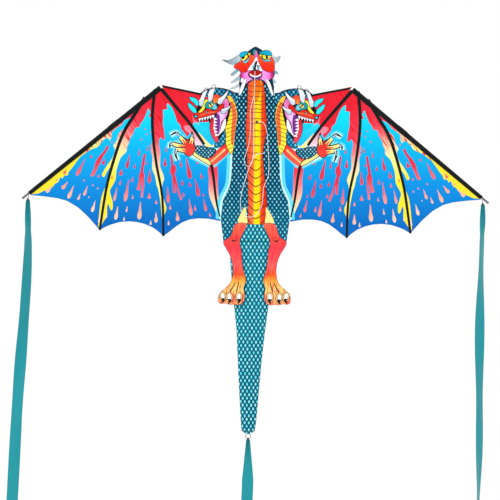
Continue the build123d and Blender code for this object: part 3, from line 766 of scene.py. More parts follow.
# The second and third heads are printed on the wings beside the neck: horns, an open mouth with a red tongue,
# white teeth, and a yellow throat, each shape with a black line round it.
ink("magenta", [(0, dye(214, 40, 150))], scales=(10, 10, 0.25, dye(240, 150, 214), dye(250, 200, 232)))
ink("pink", [(-340, dye(238, 168, 226)), (-200, dye(240, 120, 206))])
ink("lilac", [(-360, dye(206, 186, 236)), (-240, dye(234, 200, 244))])
ink("purple", [(0, dye(120, 40, 140))])
ink("snout_red", [(-300, dye(236, 60, 40)), (-230, dye(214, 22, 24))])
ink("tongue_red", [(-380, dye(232, 70, 96)), (-280, dye(206, 10, 30))])
ink("eye_yellow", [(0, dye(250, 230, 60))])
ink("eye_teal", [(0, dye(20, 150, 150))])
ink("ear_orange", [(-222, dye(246, 140, 50)), (-196, dye(232, 74, 44))])
ink("lid_cyan", [(0, dye(110, 200, 226))])


def squared_up(points):
    """Drawn points turned two degrees and moved level with the sail."""
    return [(x - 0.035 * (z + 445), z + 0.035 * x) for x, z in points]


def outlined(fill, points, line=5.5, smooth=2):
    """A filled shape with a black line round it."""
    shape = soft(squared_up(points), smooth)
    return [("line_black", stroke(list(shape) + [shape[0]], line, line, 1)), (fill, shape)]


side_head = []
side_head += [("line_black", soft(squared_up([
    (128, -212), (140, -204), (160, -206), (182, -210), (206, -214), (232, -226), (252, -250), (262, -272),
    (258, -294), (216, -290), (196, -312), (190, -345), (170, -384), (152, -384), (138, -350), (122, -300),
    (112, -236),
])))]
side_head += outlined("neck_scales",
                      [(133, -333), (129, -390), (160, -409), (172, -402), (158, -380), (141, -354)])
side_head += outlined("sky", [(284, -208), (270, -209), (256, -214), (247, -224), (246, -240),
                              (256, -240), (264, -230), (276, -222)])
side_head += outlined("sky", [(289, -233), (278, -236), (268, -244), (258, -252), (252, -268),
                              (262, -272), (274, -262), (284, -250)])
side_head += outlined("pink", [(170, -258), (152, -228), (133, -205), (121, -226), (124, -262),
                               (133, -287), (148, -304), (152, -333), (158, -356), (160, -300)])
side_head += [("lilac", soft(squared_up([(148, -250), (136, -258), (140, -284), (152, -300), (157, -270)])))]
side_head += [("magenta",
               soft(squared_up([(141, -206), (128, -214), (125, -236), (138, -236), (150, -226)])))]
side_head += outlined("white", [(131, -290), (131, -325), (145, -346), (163, -366), (153, -348), (147, -320),
                                (140, -300)], 3)
side_head += outlined("purple", [(160, -276), (156, -300), (156, -330), (160, -352), (170, -360),
                                 (186, -330), (186, -296), (176, -276)], 3)
side_head += outlined("tongue_red",
                      [(190, -290), (178, -284), (176, -304), (177, -330), (170, -350), (160, -368),
                       (157, -382), (167, -388), (186, -360), (195, -326)], 4)
for step in range(6):
    x, z = 177 - max(0, step - 3) * 4, -292 - step * 13
    side_head.append(("white", squared_up([(x + 2, z + 6), (x - 13, z - 1), (x + 2, z - 7)])))
side_head += [("line_black",
               soft(squared_up([(168, -262), (196, -276), (240, -292), (242, -306), (200, -298),
                                (174, -284)]))),
              ("pink", stroke(squared_up([(180, -274), (206, -283), (238, -292)]), 5, 4))]
for step in range(6):
    x, z = 182 + step * 11, -280 - step * 3
    side_head.append(("white", squared_up([(x - 5, z + 3), (x + 6, z + 1), (x + 1, z - 12)])))
side_head += outlined("snout_red",
                      [(254, -272), (232, -267), (215, -256), (198, -252), (183, -261), (169, -252),
                       (158, -234), (141, -232), (143, -246), (160, -258), (173, -268), (202, -280),
                       (232, -289), (246, -292), (258, -289), (260, -279)])
side_head += [("sunset", stroke(squared_up([(176, -265), (204, -268), (236, -280)]), 6, 5))]
side_head += outlined("eye_yellow",
                      [(211, -214), (206, -224), (215, -239), (219, -251), (232, -267), (245, -268),
                       (233, -253), (226, -235), (223, -221)], 6)
nostril_x, nostril_z = squared_up([(211, -266)])[0]
nose_x, nose_z = squared_up([(254, -286)])[0]
side_head += [("line_black", oval(nostril_x, nostril_z, 13, 11, -14)),
              ("horn_grey", oval(nostril_x, nostril_z, 6, 5, -14)),
              ("line_black", oval(nose_x, nose_z, 17, 15)), ("sky", oval(nose_x, nose_z, 9, 8))]
side_head += outlined("eye_teal",
                      [(219, -238), (214, -227), (204, -221), (192, -220), (181, -226), (172, -234),
                       (167, -246), (174, -255), (187, -254), (199, -251), (209, -250), (217, -246)], 3.5)
side_head += [("lid_cyan",
               soft(squared_up([(184, -231), (174, -236), (170, -246), (175, -252), (185, -251),
                                (189, -242)])))]
eye_x, eye_z = squared_up([(194, -237)])[0]
side_head += [("line_black", oval(eye_x, eye_z, 22, 20)), ("cream", oval(eye_x, eye_z, 18, 16)),
              ("eye_yellow", oval(eye_x - 3, eye_z - 3, 10, 9)),
              ("line_black", stroke([(eye_x + 5, eye_z + 7), (eye_x - 6, eye_z - 6)], 6, 5, 1))]
side_head += outlined("ear_orange",
                      [(188, -206), (186, -196), (172, -192), (160, -197), (157, -208), (162, -220),
                       (172, -227), (184, -226)], 3)
for horn in ([(217, -167), (212, -178), (221, -205), (228, -240), (241, -240), (242, -224), (230, -188)],
             [(183, -153), (180, -167), (186, -186), (190, -215), (204, -224), (207, -197), (200, -171)],
             [(129, -176), (130, -190), (145, -217), (154, -231), (167, -228), (165, -215), (142, -192)],
             [(114, -234), (119, -247), (138, -269), (151, -265), (149, -255), (127, -243)]):
    side_head += outlined("horn_grey", horn, 4.5)
    inner = squared_up([((horn[0][0] + horn[1][0]) / 2, horn[0][1] - 8), horn[-2]])
    side_head.append(("white", stroke(inner, 2, 6)))
throat = squared_up([
    (129, -197), (114, -197), (97, -222), (89, -249), (84, -279), (87, -312), (91, -354), (93, -396),
    (99, -434), (110, -424), (124, -396), (131, -354), (130, -312), (129, -274), (120, -245), (120, -218),
])
throat_print = [("line_black", stroke(soft(throat) + [throat[0]], 4, 4, 1)), ("gold", soft(throat))]
throat_print.append(("sunset", soft(squared_up([
    (112, -218), (100, -228), (92, -250), (86, -279), (88, -312), (92, -354), (95, -396), (103, -392),
    (106, -354), (105, -312), (104, -279), (109, -250), (117, -230),
]))))
for z in range(222, 430, 17):
    left = float(np.interp(z, [197, 249, 279, 354, 434], [112, 90, 85, 92, 99]))
    right = float(np.interp(z, [197, 218, 245, 274, 312, 354, 396, 434],
                            [126, 119, 119, 127, 129, 130, 122, 104]))
    bar = [(left - 1, -z + 6), ((left + right) / 2, -z - 2), (right + 1, -z - 9)]
    throat_print.append(("brown", stroke(squared_up(bar), 2.6, 2.6)))
neck_arch = soft([(66, -190), (92, -176), (118, -165), (150, -159), (184, -160), (212, -170),
                  (232, -186), (214, -196), (180, -196), (150, -200), (128, -214), (116, -240), (118, -330),
                  (112, -400), (96, -420), (90, -300)], 2)

# The print on the thighs and the legs, which runs on from the sail's lower edge down each leg. It shades from
# coral at the thigh to red and orange, with cream toes, white nails and black claw tips.
thigh_z = -716
ink("leg_coral", [(-1050, dye(250, 160, 100)), (-985, dye(252, 206, 120)), (-952, dye(252, 170, 60)),
                  (-925, dye(246, 88, 24)), (-890, dye(238, 100, 92)), (-815, dye(236, 58, 76)),
                  (-775, dye(236, 78, 62)), (-718, dye(238, 108, 76))], streaks=(dye(232, 52, 66), 4))
ink("toe_cream", [(-1040, dye(250, 178, 120)), (-985, dye(252, 226, 140))])
leg_outline = [
    (34, -716), (80, -716), (92, -748), (103, -772), (130, -790), (120, -815), (107, -836), (97, -858),
    (91, -880), (88, -905), (89, -930), (96, -955), (110, -974), (124, -986), (140, -1002), (149, -1022),
    (146, -1040), (134, -1046), (118, -1043), (100, -1049), (84, -1047), (64, -1049), (48, -1040),
    (41, -1020), (42, -998), (46, -981), (38, -960), (37, -943), (44, -920), (50, -895), (54, -860),
    (56, -828), (62, -805), (62, -782), (46, -746),
]


def leg_print(top):
    """The leg's print, cut off straight at a height."""
    outline = [point for point in leg_outline if point[1] <= top]
    drawn = [("line_black", stroke(soft(outline, 2) + [outline[0]], 2.6, 2.6, 1)),
             ("leg_coral", soft(outline, 2))]
    drawn.append(("line_black", stroke([(76, -783), (86, -788), (95, -784)], 3, 6)))
    drawn.append(("palm_red", stroke([(95, -796), (92, -816), (93, -838)], 3.4, 2)))
    drawn.append(("palm_red", stroke([(64, -838), (62, -860), (60, -884)], 2.6, 1.6)))
    drawn.append(("line_black", stroke([(80, -957), (88, -976), (101, -996)], 3, 5)))
    drawn.append(("line_black", stroke([(65, -957), (69, -976), (74, -996)], 3, 5)))
    for x, z, turn in ((130, -1016, -14), (103, -1019, -8), (64, -1018, 6)):
        drawn.append(("line_black", oval(x, z, 32, 42, turn)))
        drawn.append(("toe_cream", oval(x, z, 27, 37, turn)))
        drawn.append(("line_black", oval(x, z - 1, 19, 31, turn)))
        drawn.append(("white", oval(x, z, 15, 27, turn)))
        drawn.append(("line_black",
                      soft([(x - 8, z - 8), (x + 7, z - 8), (x + 2, z - 16), (x + 6, z - 28),
                            (x - 5, z - 22)])))
    return drawn


ink("tail_scales", [(-1585, dye(0, 74, 100)), (-1000, dye(0, 96, 122)), (-718, dye(0, 92, 118))],
    scales=(17.5, 29, 0.235, dye(86, 214, 226), dye(150, 238, 244)))
sail_cut = [(0, 20), (1000, 20), (1000, -790), (0, -790)]
for side, side_name in ((-1, "left"), (1, "right")):
    art = list(wing_print)
    art += [("neck_scales", neck_arch)] + arm_print + body_print + belly_print(side)
    art.append(("tail_scales", [(0, -718), (33, -718), (47, -746), (63, -780), (63, -790), (0, -790)]))
    art.append(("cream", soft(hip_wedges[side], 2)))
    art += leg_print(thigh_z)
    art += throat_print + side_head
    art.append(("line_black",
                stroke([(66, -186), (73, -194), (92, -178), (118, -166), (150, -160), (180, -160),
                        (208, -168), (233, -184)], 4, 4)))
    sail = printed_cloth(f"{side_name}_sail", art, sail_depth, side, keep=sail_cut)
    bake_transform(sail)
    replaced = [f"{side_name}_wing_panel", f"{side_name}_head_panel"]
    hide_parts(*replaced, *(["body_panel"] if side < 0 else []))


# Tapes: black woven binding, stitched along both edges over each fold of the wing and over the wing's root,
# with a narrow binding along the front edge between the beast's neck and the leading edge.
def tape_group():
    """Woven black tape: fine cross ribs, stitches near each edge; pattern (-1 to 1, metres along)."""
    group, takes, gives = shader_group(
        "stitched_tape",
        [("Colour", "Color", (0, 0, 0, 1)), ("Thread", "Color", (0.1, 0.1, 0.1, 1)),
         ("Pattern", "Vector", None)],
        [("Colour", "Color"), ("Roughness", "Float"), ("Height", "Float")],
    )
    sides = add(group, "ShaderNodeSeparateXYZ", {0: takes.outputs["Pattern"]})
    across = maths(group, "ABSOLUTE", sides.outputs[0])
    row = maths(group, "COMPARE", across.outputs[0], 0.7, 0.06)
    along = maths(group, "MULTIPLY", sides.outputs[1], 250.0)
    part = maths(group, "FRACT", along.outputs[0])
    dash = maths(group, "LESS_THAN", part.outputs[0], 0.64)
    stitch = maths(group, "MULTIPLY", row.outputs[0], dash.outputs[0])
    ribs = maths(group, "MULTIPLY", sides.outputs[1], 5200.0)
    rib = maths(group, "SINE", ribs.outputs[0])
    worn = add(group, "ShaderNodeTexNoise",
               {"Vector": takes.outputs["Pattern"], "Scale": 14.0, "Detail": 3.0})
    value = add(group, "ShaderNodeMapRange", {"Value": worn.outputs["Fac"], "To Min": 0.6, "To Max": 1.5})
    tint = add(group, "ShaderNodeHueSaturation",
               {"Value": value.outputs[0], "Color": takes.outputs["Colour"]})
    colour = mixed(group, stitch.outputs[0], tint.outputs["Color"], takes.outputs["Thread"])
    height = maths(group, "MULTIPLY_ADD", stitch.outputs[0], 2.0, rib.outputs[0])
    rough = add(group, "ShaderNodeMapRange", {"Value": worn.outputs["Fac"], "To Min": 0.5, "To Max": 0.8})
    group.links.new(colour, gives.inputs["Colour"])
    group.links.new(rough.outputs[0], gives.inputs["Roughness"])
    group.links.new(height.outputs[0], gives.inputs["Height"])
    return group


stitched_tape = tape_group()
black_tape, tree, shader = surface("black_binding_tape", 0.6, specular=0.15)
woven = add(tree, "ShaderNodeGroup",
            {"Pattern": add(tree, "ShaderNodeUVMap", uv_map="pattern").outputs["UV"]},
            node_tree=stitched_tape)
woven.inputs["Colour"].default_value = dye(14, 18, 20)
woven.inputs["Thread"].default_value = dye(58, 64, 66)
finish_from(tree, shader, woven, 0.0004)


def cloth_grid(name, rows, thickness, material, pattern):
    """Thin cloth over a grid of places, with a front, a back a little behind it, and its cut edges."""
    down, across = len(rows), len(rows[0])
    front = [place for row in rows for place in row]
    back = [(x, y + thickness, z) for x, y, z in front]
    faces = []
    for i in range(down - 1):
        for j in range(across - 1):
            a, b = i * across + j, i * across + j + 1
            faces.append([a, a + across, b + across, b])
    count = len(front)
    faces += [[count + corner for corner in corners[::-1]] for corners in faces]
    rim = [(j, j + 1) for j in range(across - 1)]
    rim += [((i + 1) * across - 1, (i + 2) * across - 1) for i in range(down - 1)]
    rim += [((down - 1) * across + j + 1, (down - 1) * across + j) for j in range(across - 1)][::-1]
    rim += [((i + 1) * across, i * across) for i in range(down - 1)][::-1]
    faces += [[a, b, count + b, count + a] for a, b in rim]
    spots = [spot for row in pattern for spot in row] * 2
    return cloth_piece(name, front + back, faces, [material], spots)


def walked(points, step):
    """Evenly spaced places down a line that is rounded through its points."""
    shape = stroke(points, 0.001, 0.001, 8)
    line = np.array(shape[: len(shape) // 2])
    run = np.concatenate(([0.0], np.cumsum(np.hypot(*np.diff(line, axis=0).T))))
    count = max(3, int(run[-1] / step))
    spots = np.linspace(0.0, run[-1], count)
    return np.stack((np.interp(spots, run, line[:, 0]), np.interp(spots, run, line[:, 1])), axis=1), spots


def tape(name, points, start_width, end_width, side, lift=0.9):
    """A tape laid on the front of the sail along a line, a little crowned across its width."""
    line, run = walked(points, 9.0)
    rows, pattern = [], []
    for i, (x, z) in enumerate(line):
        ahead = line[min(i + 1, len(line) - 1)] - line[max(i - 1, 0)]
        across = np.array((-ahead[1], ahead[0])) / hypot(*ahead)
        half = (start_width + (end_width - start_width) * i / (len(line) - 1)) / 2
        row, spots = [], []
        for share in (-1.0, -0.72, 0.0, 0.72, 1.0):
            px, pz = (x, z) + across * half * share
            crown = lift * (1.0 if abs(share) < 0.5 else 0.85 if abs(share) < 0.9 else 0.35)
            row.append((side * px * MM, (sail_depth(px, pz) - crown) * MM, pz * MM))
            spots.append((share, run[i] * MM))
        if side < 0:
            row, spots = row[::-1], spots[::-1]
        rows.append(row)
        pattern.append(spots)
    return cloth_grid(name, rows, 0.5 * MM, black_tape, pattern)


tape_lines = {
    "outer_tape": (outer_fold[:-1] + ((637, -742),), 15, 8),
    "middle_tape": (middle_fold[:-1] + ((378, -766),), 13, 7),
    "inner_tape": (((390, -170),) + inner_fold[1:4], 14, 10),
    "root_tape": (inner_fold[4:], 9, 6),
    "edge_binding": (((228, -186), (300, -171), (386, -155)), 9, 8),
}
for side, side_name in ((-1, "left"), (1, "right")):
    for name, (points, top, foot) in tape_lines.items():
        piece = tape(f"{side_name}_{name}_cover", points, top, foot, side)
        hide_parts(f"{side_name}_{name}")
        if name == "root_tape":
            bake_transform(piece)
        else:
            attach(piece, f"{side_name}_wing")


# Leading edge sleeves: a strip of black polyester folded round the rod and stitched down to the wing's cloth.
# The upper one has a pocket over the cap at the apex, the lower one ends short of the cap at the tip, and
# between them the spreader's connector grips the bare rod.
edge_start = np.array((401.0, -152.0))
edge_along = np.array((564.0, -462.0)) / hypot(564.0, 462.0)
edge_inward = np.array((edge_along[1], -edge_along[0]))
edge_length = 730
rod_inset, rod_depth = 10.0, -11.0
sleeve_bore = 3.35
sleeve_around = 28
pocket_end = 26


def sleeve(name, start, end, side):
    """A sewn tube along the leading edge: full round the rod, flat where it is stitched to the sail.
    At the apex it is a wider pocket over the rod's end cap."""
    stations = list(np.linspace(max(start, pocket_end + 1), end, int((end - start) / 14)))
    if start < pocket_end:
        stations = [start, start + 5, 12, 20, pocket_end - 0.1] + stations
    vertices, faces, pattern = [], [], []
    for s in stations:
        outer_inset = float(np.interp(s, (0, edge_length), (-0.8, 3.4)))
        inner_inset = float(np.interp(s, (0, edge_length), (22.0, 19.6)))
        pucker = 0.35 * sin(s / 5.3) + 0.25 * sin(s / 11.7 + 1.0)
        pocket = 1.0 if s < pocket_end else 0.0
        for ring in (0, 1):
            for n in range(sleeve_around):
                turn = 2 * pi * n / sleeve_around
                share = cos(turn)
                if ring == 0:
                    flat = min(1.0, max(0.0, (share - 0.15) / 0.6))
                    tall = (4.1 + 1.5 * pocket + 0.3 * pucker) * (1 - 0.72 * flat * flat * (3 - 2 * flat))
                    inset = outer_inset + (inner_inset - outer_inset) * (1 + share) / 2
                    inset += 0.3 * pucker * (share > 0.9)
                    depth = rod_depth - tall * sin(turn)
                else:
                    bore = sleeve_bore + 1.4 * pocket
                    inset, depth = rod_inset + bore * share, rod_depth - bore * sin(turn)
                x, z = edge_start + edge_along * s + edge_inward * inset
                vertices.append((side * x * MM, depth * MM, z * MM))
                pattern.append((share, s * MM))
    span = 2 * sleeve_around
    for i in range(len(stations) - 1):
        for n in range(sleeve_around):
            m = (n + 1) % sleeve_around
            a, b = i * span + n, i * span + m
            faces.append([a, b, b + span, a + span])
            a, b = a + sleeve_around, b + sleeve_around
            faces.append([a, a + span, b + span, b])
    for n in range(sleeve_around):
        m = (n + 1) % sleeve_around
        last = (len(stations) - 1) * span
        faces.append([n, n + sleeve_around, m + sleeve_around, m])
        faces.append([last + n, last + m, last + m + sleeve_around, last + n + sleeve_around])
    if side < 0:
        faces = [corners[::-1] for corners in faces]
    return cloth_piece(name, vertices, faces, [black_tape], pattern)


connector_at = {"left": 244.5, "right": 264.4}
connector_gap = 20
sleeve_end = 694
for side, side_name in ((-1, "left"), (1, "right")):
    for name, start, end in (("upper_sleeve", 0.5, connector_at[side_name] - connector_gap),
                             ("lower_sleeve", connector_at[side_name] + connector_gap, sleeve_end)):
        piece = sleeve(f"{side_name}_{name}_cover", start, end, side)
        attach(piece, f"{side_name}_wing")
        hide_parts(f"{side_name}_{name}")


# Sleeve bridges: the sleeve's front runs on across the gap as one flap of the same cloth in front of the
# connector, sewn to both sleeves, so that the leading edge reads as one black line from the front.
bridge_half = 24
for side, side_name in ((-1, "left"), (1, "right")):
    rows, pattern = [], []
    middle = connector_at[side_name]
    for s in np.linspace(middle - bridge_half, middle + bridge_half, 13):
        away = min(1.0, abs(s - middle) / bridge_half)
        bulge = 5.0 + 1.9 * (1 - away ** 4)
        row, spots = [], []
        for n in range(11):
            share = n / 5 - 1
            inset = 10.6 + 11.2 * share
            flat = min(1.0, max(0.0, (share - 0.15) / 0.6))
            tall = bulge * max(0.0, 1 - share * share) ** 0.5 * (1 - 0.5 * flat)
            x, z = edge_start + edge_along * s + edge_inward * inset
            row.append((side * x * MM, (rod_depth - tall) * MM, z * MM))
            spots.append((share, s * MM))
        if side < 0:
            row, spots = row[::-1], spots[::-1]
        rows.append(row[::-1])
        pattern.append(spots[::-1])
    piece = cloth_grid(f"{side_name}_sleeve_bridge", rows, 0.5 * MM, black_tape, pattern)
    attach(piece, f"{side_name}_wing")


# Head: a separate piece of the same printed cloth, stiffened and laid over the top of the neck. It is cut
# round the drawing's horns, cheek spikes and whiskers, and shows the beast's face from the front.
ink("navy", [(0, dye(12, 40, 66))])
ink("brow_teal", [(20, dye(10, 150, 168)), (60, dye(0, 176, 214))], slope=(1.0, 0.0))
ink("face_red", [(-96, dye(232, 24, 20)), (-60, dye(244, 52, 20)), (-24, dye(250, 96, 40))])
ink("cheek_pink", [(14, dye(214, 60, 150)), (26, dye(250, 160, 228)), (50, dye(244, 120, 212)),
                   (60, dye(206, 50, 130)), (72, dye(120, 30, 90))], slope=(1.0, 0.0))
ink("mouth_red", [(0, dye(176, 14, 14))])
ink("lip_violet", [(0, dye(84, 52, 130))])
ink("mulberry", [(0, dye(92, 14, 60))])
ink("horn_pale", [(56, dye(212, 220, 230)), (82, dye(168, 186, 196)), (144, dye(96, 116, 130))],
    slope=(1.0, 0.0))
ink("spike_pale", [(-165, dye(196, 206, 222)), (-120, dye(150, 178, 192)), (-80, dye(110, 160, 172))])


def edged(fill, points, line=4.0, edge="navy", smooth=2):
    """A filled shape of the head with a thin dark line round it."""
    shape = soft(points, smooth)
    return [(edge, stroke(list(shape) + [shape[0]], line, line, 1)), (fill, shape)]


head_print = []
for spike in (
    [(-92, -60), (-108, -60), (-144, -42), (-118, -46), (-92, -34), (-70, -22), (-62, -40)],
    [(58, -22), (78, -33), (96, -25), (90, -43), (78, -54), (62, -52)],
):
    head_print += edged("horn_pale", spike, 2.6, "navy")
for spike in (
    [(-72, -72), (-84, -84), (-104, -100), (-106, -107), (-96, -106), (-80, -92), (-70, -84)],
    [(-66, -118), (-84, -130), (-104, -138), (-100, -132), (-80, -116), (-70, -110)],
    [(-60, -122), (-72, -140), (-94, -155), (-112, -163), (-90, -160), (-68, -148), (-58, -136)],
    [(62, -118), (72, -124), (80, -134), (70, -134), (60, -128)],
    [(68, -84), (80, -88), (88, -98), (78, -98), (68, -94)],
):
    head_print += edged("spike_pale", spike, 2.2, "navy")
for tuft in (
    [(-50, -112), (-66, -116), (-72, -134), (-70, -160), (-67, -190), (-60, -160), (-52, -136)],
    [(46, -112), (62, -114), (68, -134), (72, -158), (68, -192), (62, -164), (52, -138)],
):
    head_print.append(("navy", soft(tuft)))
head_print += edged("cheek_pink",
                    [(-64, -84), (-70, -100), (-66, -116), (-50, -124), (-46, -142), (-34, -131), (-18, -122),
                     (0, -120), (20, -122), (34, -130), (42, -142), (50, -124), (62, -118), (70, -110),
                     (70, -90), (40, -80), (-40, -80)], 4.0)
for whisker in (
    [(-42, -118), (-56, -132), (-68, -164), (-71, -190), (-60, -176), (-47, -142)],
    [(38, -118), (54, -134), (64, -164), (69, -190), (58, -176), (44, -142)],
    [(-62, -116), (-66, -132), (-58, -136), (-52, -124)],
):
    head_print += edged("white", whisker, 3.2, "navy")
face = [(-90, -64), (-66, -50), (-56, -30), (-40, -20), (-16, -24), (14, -24), (40, -24),
        (60, -30), (70, -48), (72, -84), (56, -92), (34, -86), (20, -78), (-20, -76), (-37, -90),
        (-64, -92), (-74, -82), (-91, -76)]
head_print += edged("face_red", face, 4.5)
head_print += [("ember", stroke([(46, -58), (30, -66), (24, -76)], 5, 2)),
               ("mouth_red", stroke([(-60, -60), (-50, -74), (-46, -88)], 2, 5))]
head_print += edged("navy", [(-36, -8), (-22, 2), (-8, 11), (6, 6), (22, -4), (26, -14), (8, -20),
                             (-14, -22), (-32, -16)], 3)
head_print.append(("eye_teal", soft([(-16, -6), (-9, 1), (-4, -8), (-8, -22), (-16, -16)])))
head_print += edged("brow_teal", [(-69, -17), (-52, -9), (-37, -10), (-38, -21), (-57, -31), (-68, -30)], 4.6)
head_print += edged("brow_teal", [(10, -12), (34, -3), (54, -7), (61, -22), (42, -23), (20, -20)], 4.6)
for eye, pupil, lid in (
    ([(-66, -37), (-50, -28), (-34, -15), (-27, -15), (-30, -23), (-42, -36), (-54, -45)],
     (-56, -34, 9, 16, -40),
     [(-58, -46), (-48, -57), (-34, -44), (-34, -36), (-46, -48)]),
    ([(8, -20), (24, -22), (42, -25), (58, -26), (54, -38), (38, -40), (22, -32)], (41, -31, 10, 17, 14),
     [(18, -36), (34, -48), (54, -46), (56, -40), (36, -44)]),
):
    head_print += edged("lid_cyan", lid, 4.6)
    head_print += edged("eye_yellow", eye, 5.5, "line_black")
    head_print.append(("line_black", oval(*pupil)))
head_print += [("line_black", stroke([(-38, -18), (-35, -30)], 5, 7)),
               ("line_black", stroke([(20, -22), (23, -31)], 4, 6))]
head_print += [("toe_cream", soft([(-64, -41), (-56, -40), (-52, -45), (-57, -46)])),
               ("blush", soft([(47, -38), (50, -32), (57, -29), (55, -38)]))]
head_print += edged("magenta", [(-4, -4), (2, -14), (5, -30), (-2, -38), (-9, -30), (-8, -14)], 1.6)
head_print += edged("white", [(-2, -28), (-13, -50), (-28, -70), (-38, -88), (-28, -83), (-13, -86),
                              (-4, -92), (6, -85), (24, -88), (16, -72), (5, -50)], 3.6, "purple")
head_print.append(("lid_cyan", soft([(-16, -66), (-24, -80), (-14, -84), (-8, -70)])))
head_print.append(("line_black", stroke([(-1, -46), (-5, -62), (-11, -82)], 7, 12)))
head_print.append(("line_black", oval(6, -71, 9, 17, 22)))
head_print.append(("horn_grey", soft([(-26, -76), (-20, -70), (-16, -84), (-24, -84)])))
head_print.append(("spike_pale", soft([(-9, -48), (-13, -62), (-18, -74), (-14, -78), (-8, -64)])))
head_print.append(("spike_pale", soft([(9, -62), (12, -72), (10, -84), (4, -84), (2, -74)])))
head_print += edged("mouth_red", oval(-6, -102, 56, 34), 6.0, "mulberry", 1)
head_print.append(("lip_violet",
                   soft([(-30, -103), (-6, -111), (19, -103), (10, -117), (-6, -121), (-21, -117)])))
head_print.append(("white",
                   soft([(-29, -98), (-16, -106), (-6, -108), (6, -106), (18, -98), (14, -108), (-6, -114),
                         (-24, -108)])))
head_print.append(("white", oval(-73, -97, 11, 11)))


def head_depth(x, z):
    """The head's front: nearly flat, with its horns and spikes bending back a little towards their tips."""
    return -12.75 + 2.4 * max(0.0, (abs(x) - 72) / 72) ** 2 - 0.25 * sin(z / 15)


head = printed_cloth("head", head_print, head_depth, 1, spacing=9.0, thickness=0.9)
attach(head, "centre")
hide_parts("head_panel")


# Legs: a single piece of the printed cloth for each, sewn across the bottom of the thigh. They hang free
# below the knee, a little in front of the sail.
def leg_depth(x, z):
    """The leg hangs a little in front of the sail and curls forward at its foot."""
    return -12.4 - 1.6 * max(0.0, min(1.0, (-z - 830) / 200)) + 0.5 * sin((x + z) / 24)


for side, side_name in ((-1, "left"), (1, "right")):
    keep = [(20, -779), (140, -779), (160, -900), (160, -1060), (20, -1060)]
    leg = printed_cloth(f"{side_name}_leg_cloth", leg_print(thigh_z), leg_depth, side,
                        spacing=11.0, keep=keep)
    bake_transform(leg)
    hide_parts(f"{side_name}_leg")


# Tail: a long open-topped sock of printed cloth, sewn to the sail's lower edge, which the wind fills. It
# narrows evenly to a closed, rounded end, where a folded tab takes the middle streamer's loop.
tail_lines = {
    "width": ((-790, 92), (-880, 90), (-974, 81), (-1040, 73), (-1160, 59), (-1290, 49), (-1424, 39.5),
              (-1519, 33), (-1560, 29), (-1573, 24), (-1580, 16), (-1584, 7)),
    "centre": ((-790, -12), (-1160, -12), (-1290, -16), (-1424, -18), (-1585, -20)),
    "front": ((-790, -10.4), (-801, -9.6), (-1571, 11), (-1580, 16), (-1584, 21)),
    "back": ((-790, 44), (-801, 49.5), (-1000, 47), (-1571, 36), (-1580, 32), (-1584, 27)),
}
tail_rows = list(np.arange(-790, -1556, -14)) + [-1560, -1567, -1573, -1577, -1580, -1582.5, -1584]
tail_around = 48
vertices, spots = [], []
for wall in (0.0, 0.7):
    for z in tail_rows:
        width, centre, front_y, back_y = (
            float(np.interp(-z, [-place for place, _ in line], [value for _, value in line]))
            for line in tail_lines.values()
        )
        middle, deep = (front_y + back_y) / 2, (back_y - front_y) / 2 - wall
        round_up = float(np.interp(-z, (790, 830, 1500), (0.34, 0.5, 0.62)))
        ring = []
        for n in range(tail_around + 1):
            turn = 2 * pi * n / tail_around + pi
            fold = 1 + 0.018 * sin(5 * turn + z / 130) * min(1.0, (-z - 790) / 120)
            share = (sin(turn), cos(turn))
            x = (width - wall) * fold * np.sign(share[0]) * abs(share[0]) ** (round_up + 0.38)
            y = -deep * fold * np.sign(share[1]) * abs(share[1]) ** round_up
            ring.append((centre + x, middle + max(-deep, min(deep, y))))
        vertices += [(x * MM, y * MM, z * MM) for x, y in ring]
        steps = [hypot(b[0] - a[0], b[1] - a[1]) for a, b in zip(ring, ring[1:])]
        run = np.concatenate(([0.0], np.cumsum(steps)))
        spots += [((centre + place - run[tail_around // 2]) * MM, z * MM) for place in run]
row_length, layer_length = tail_around + 1, (tail_around + 1) * len(tail_rows)
faces = []
for i in range(len(tail_rows) - 1):
    for n in range(tail_around):
        a = i * row_length + n
        faces.append([a, a + row_length, a + row_length + 1, a + 1])
        a += layer_length
        faces.append([a, a + 1, a + row_length + 1, a + row_length])
for n in range(tail_around):
    faces.append([n, n + 1, layer_length + n + 1, layer_length + n])
last = layer_length - row_length
faces.append([last + n for n in range(tail_around)][::-1])
faces.append([layer_length + last + n for n in range(tail_around)])
tail = cloth_piece("tail_sock", vertices, faces, [inks["tail_scales"]], spots)
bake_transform(tail)
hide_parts("tail_front", "tail_back", "tail_left", "tail_right")


# Streamers: three teal nylon ribbons, heat-cut, each gathered into the knot of its tie so that it starts
# narrow and pleated and opens out as it falls. They hang a little twisted, with long shallow waves.
teal_cloth, tree, shader = surface("teal_ribbon", 0.5, specular=0.3, sheen=0.15)
pattern_uv = add(tree, "ShaderNodeUVMap", uv_map="pattern").outputs["UV"]
ribbon_cloth = add(tree, "ShaderNodeGroup", {"Pattern": pattern_uv, "Grid": 190.0}, node_tree=printed_ripstop)
ribbon_cloth.inputs["Colour"].default_value = dye(0, 142, 152)
finish_from(tree, shader, ribbon_cloth, 0.003)
ribbon_width, ribbon_length = 50.0, 1300.0
ribbon_steps, ribbon_strips = 105, 12


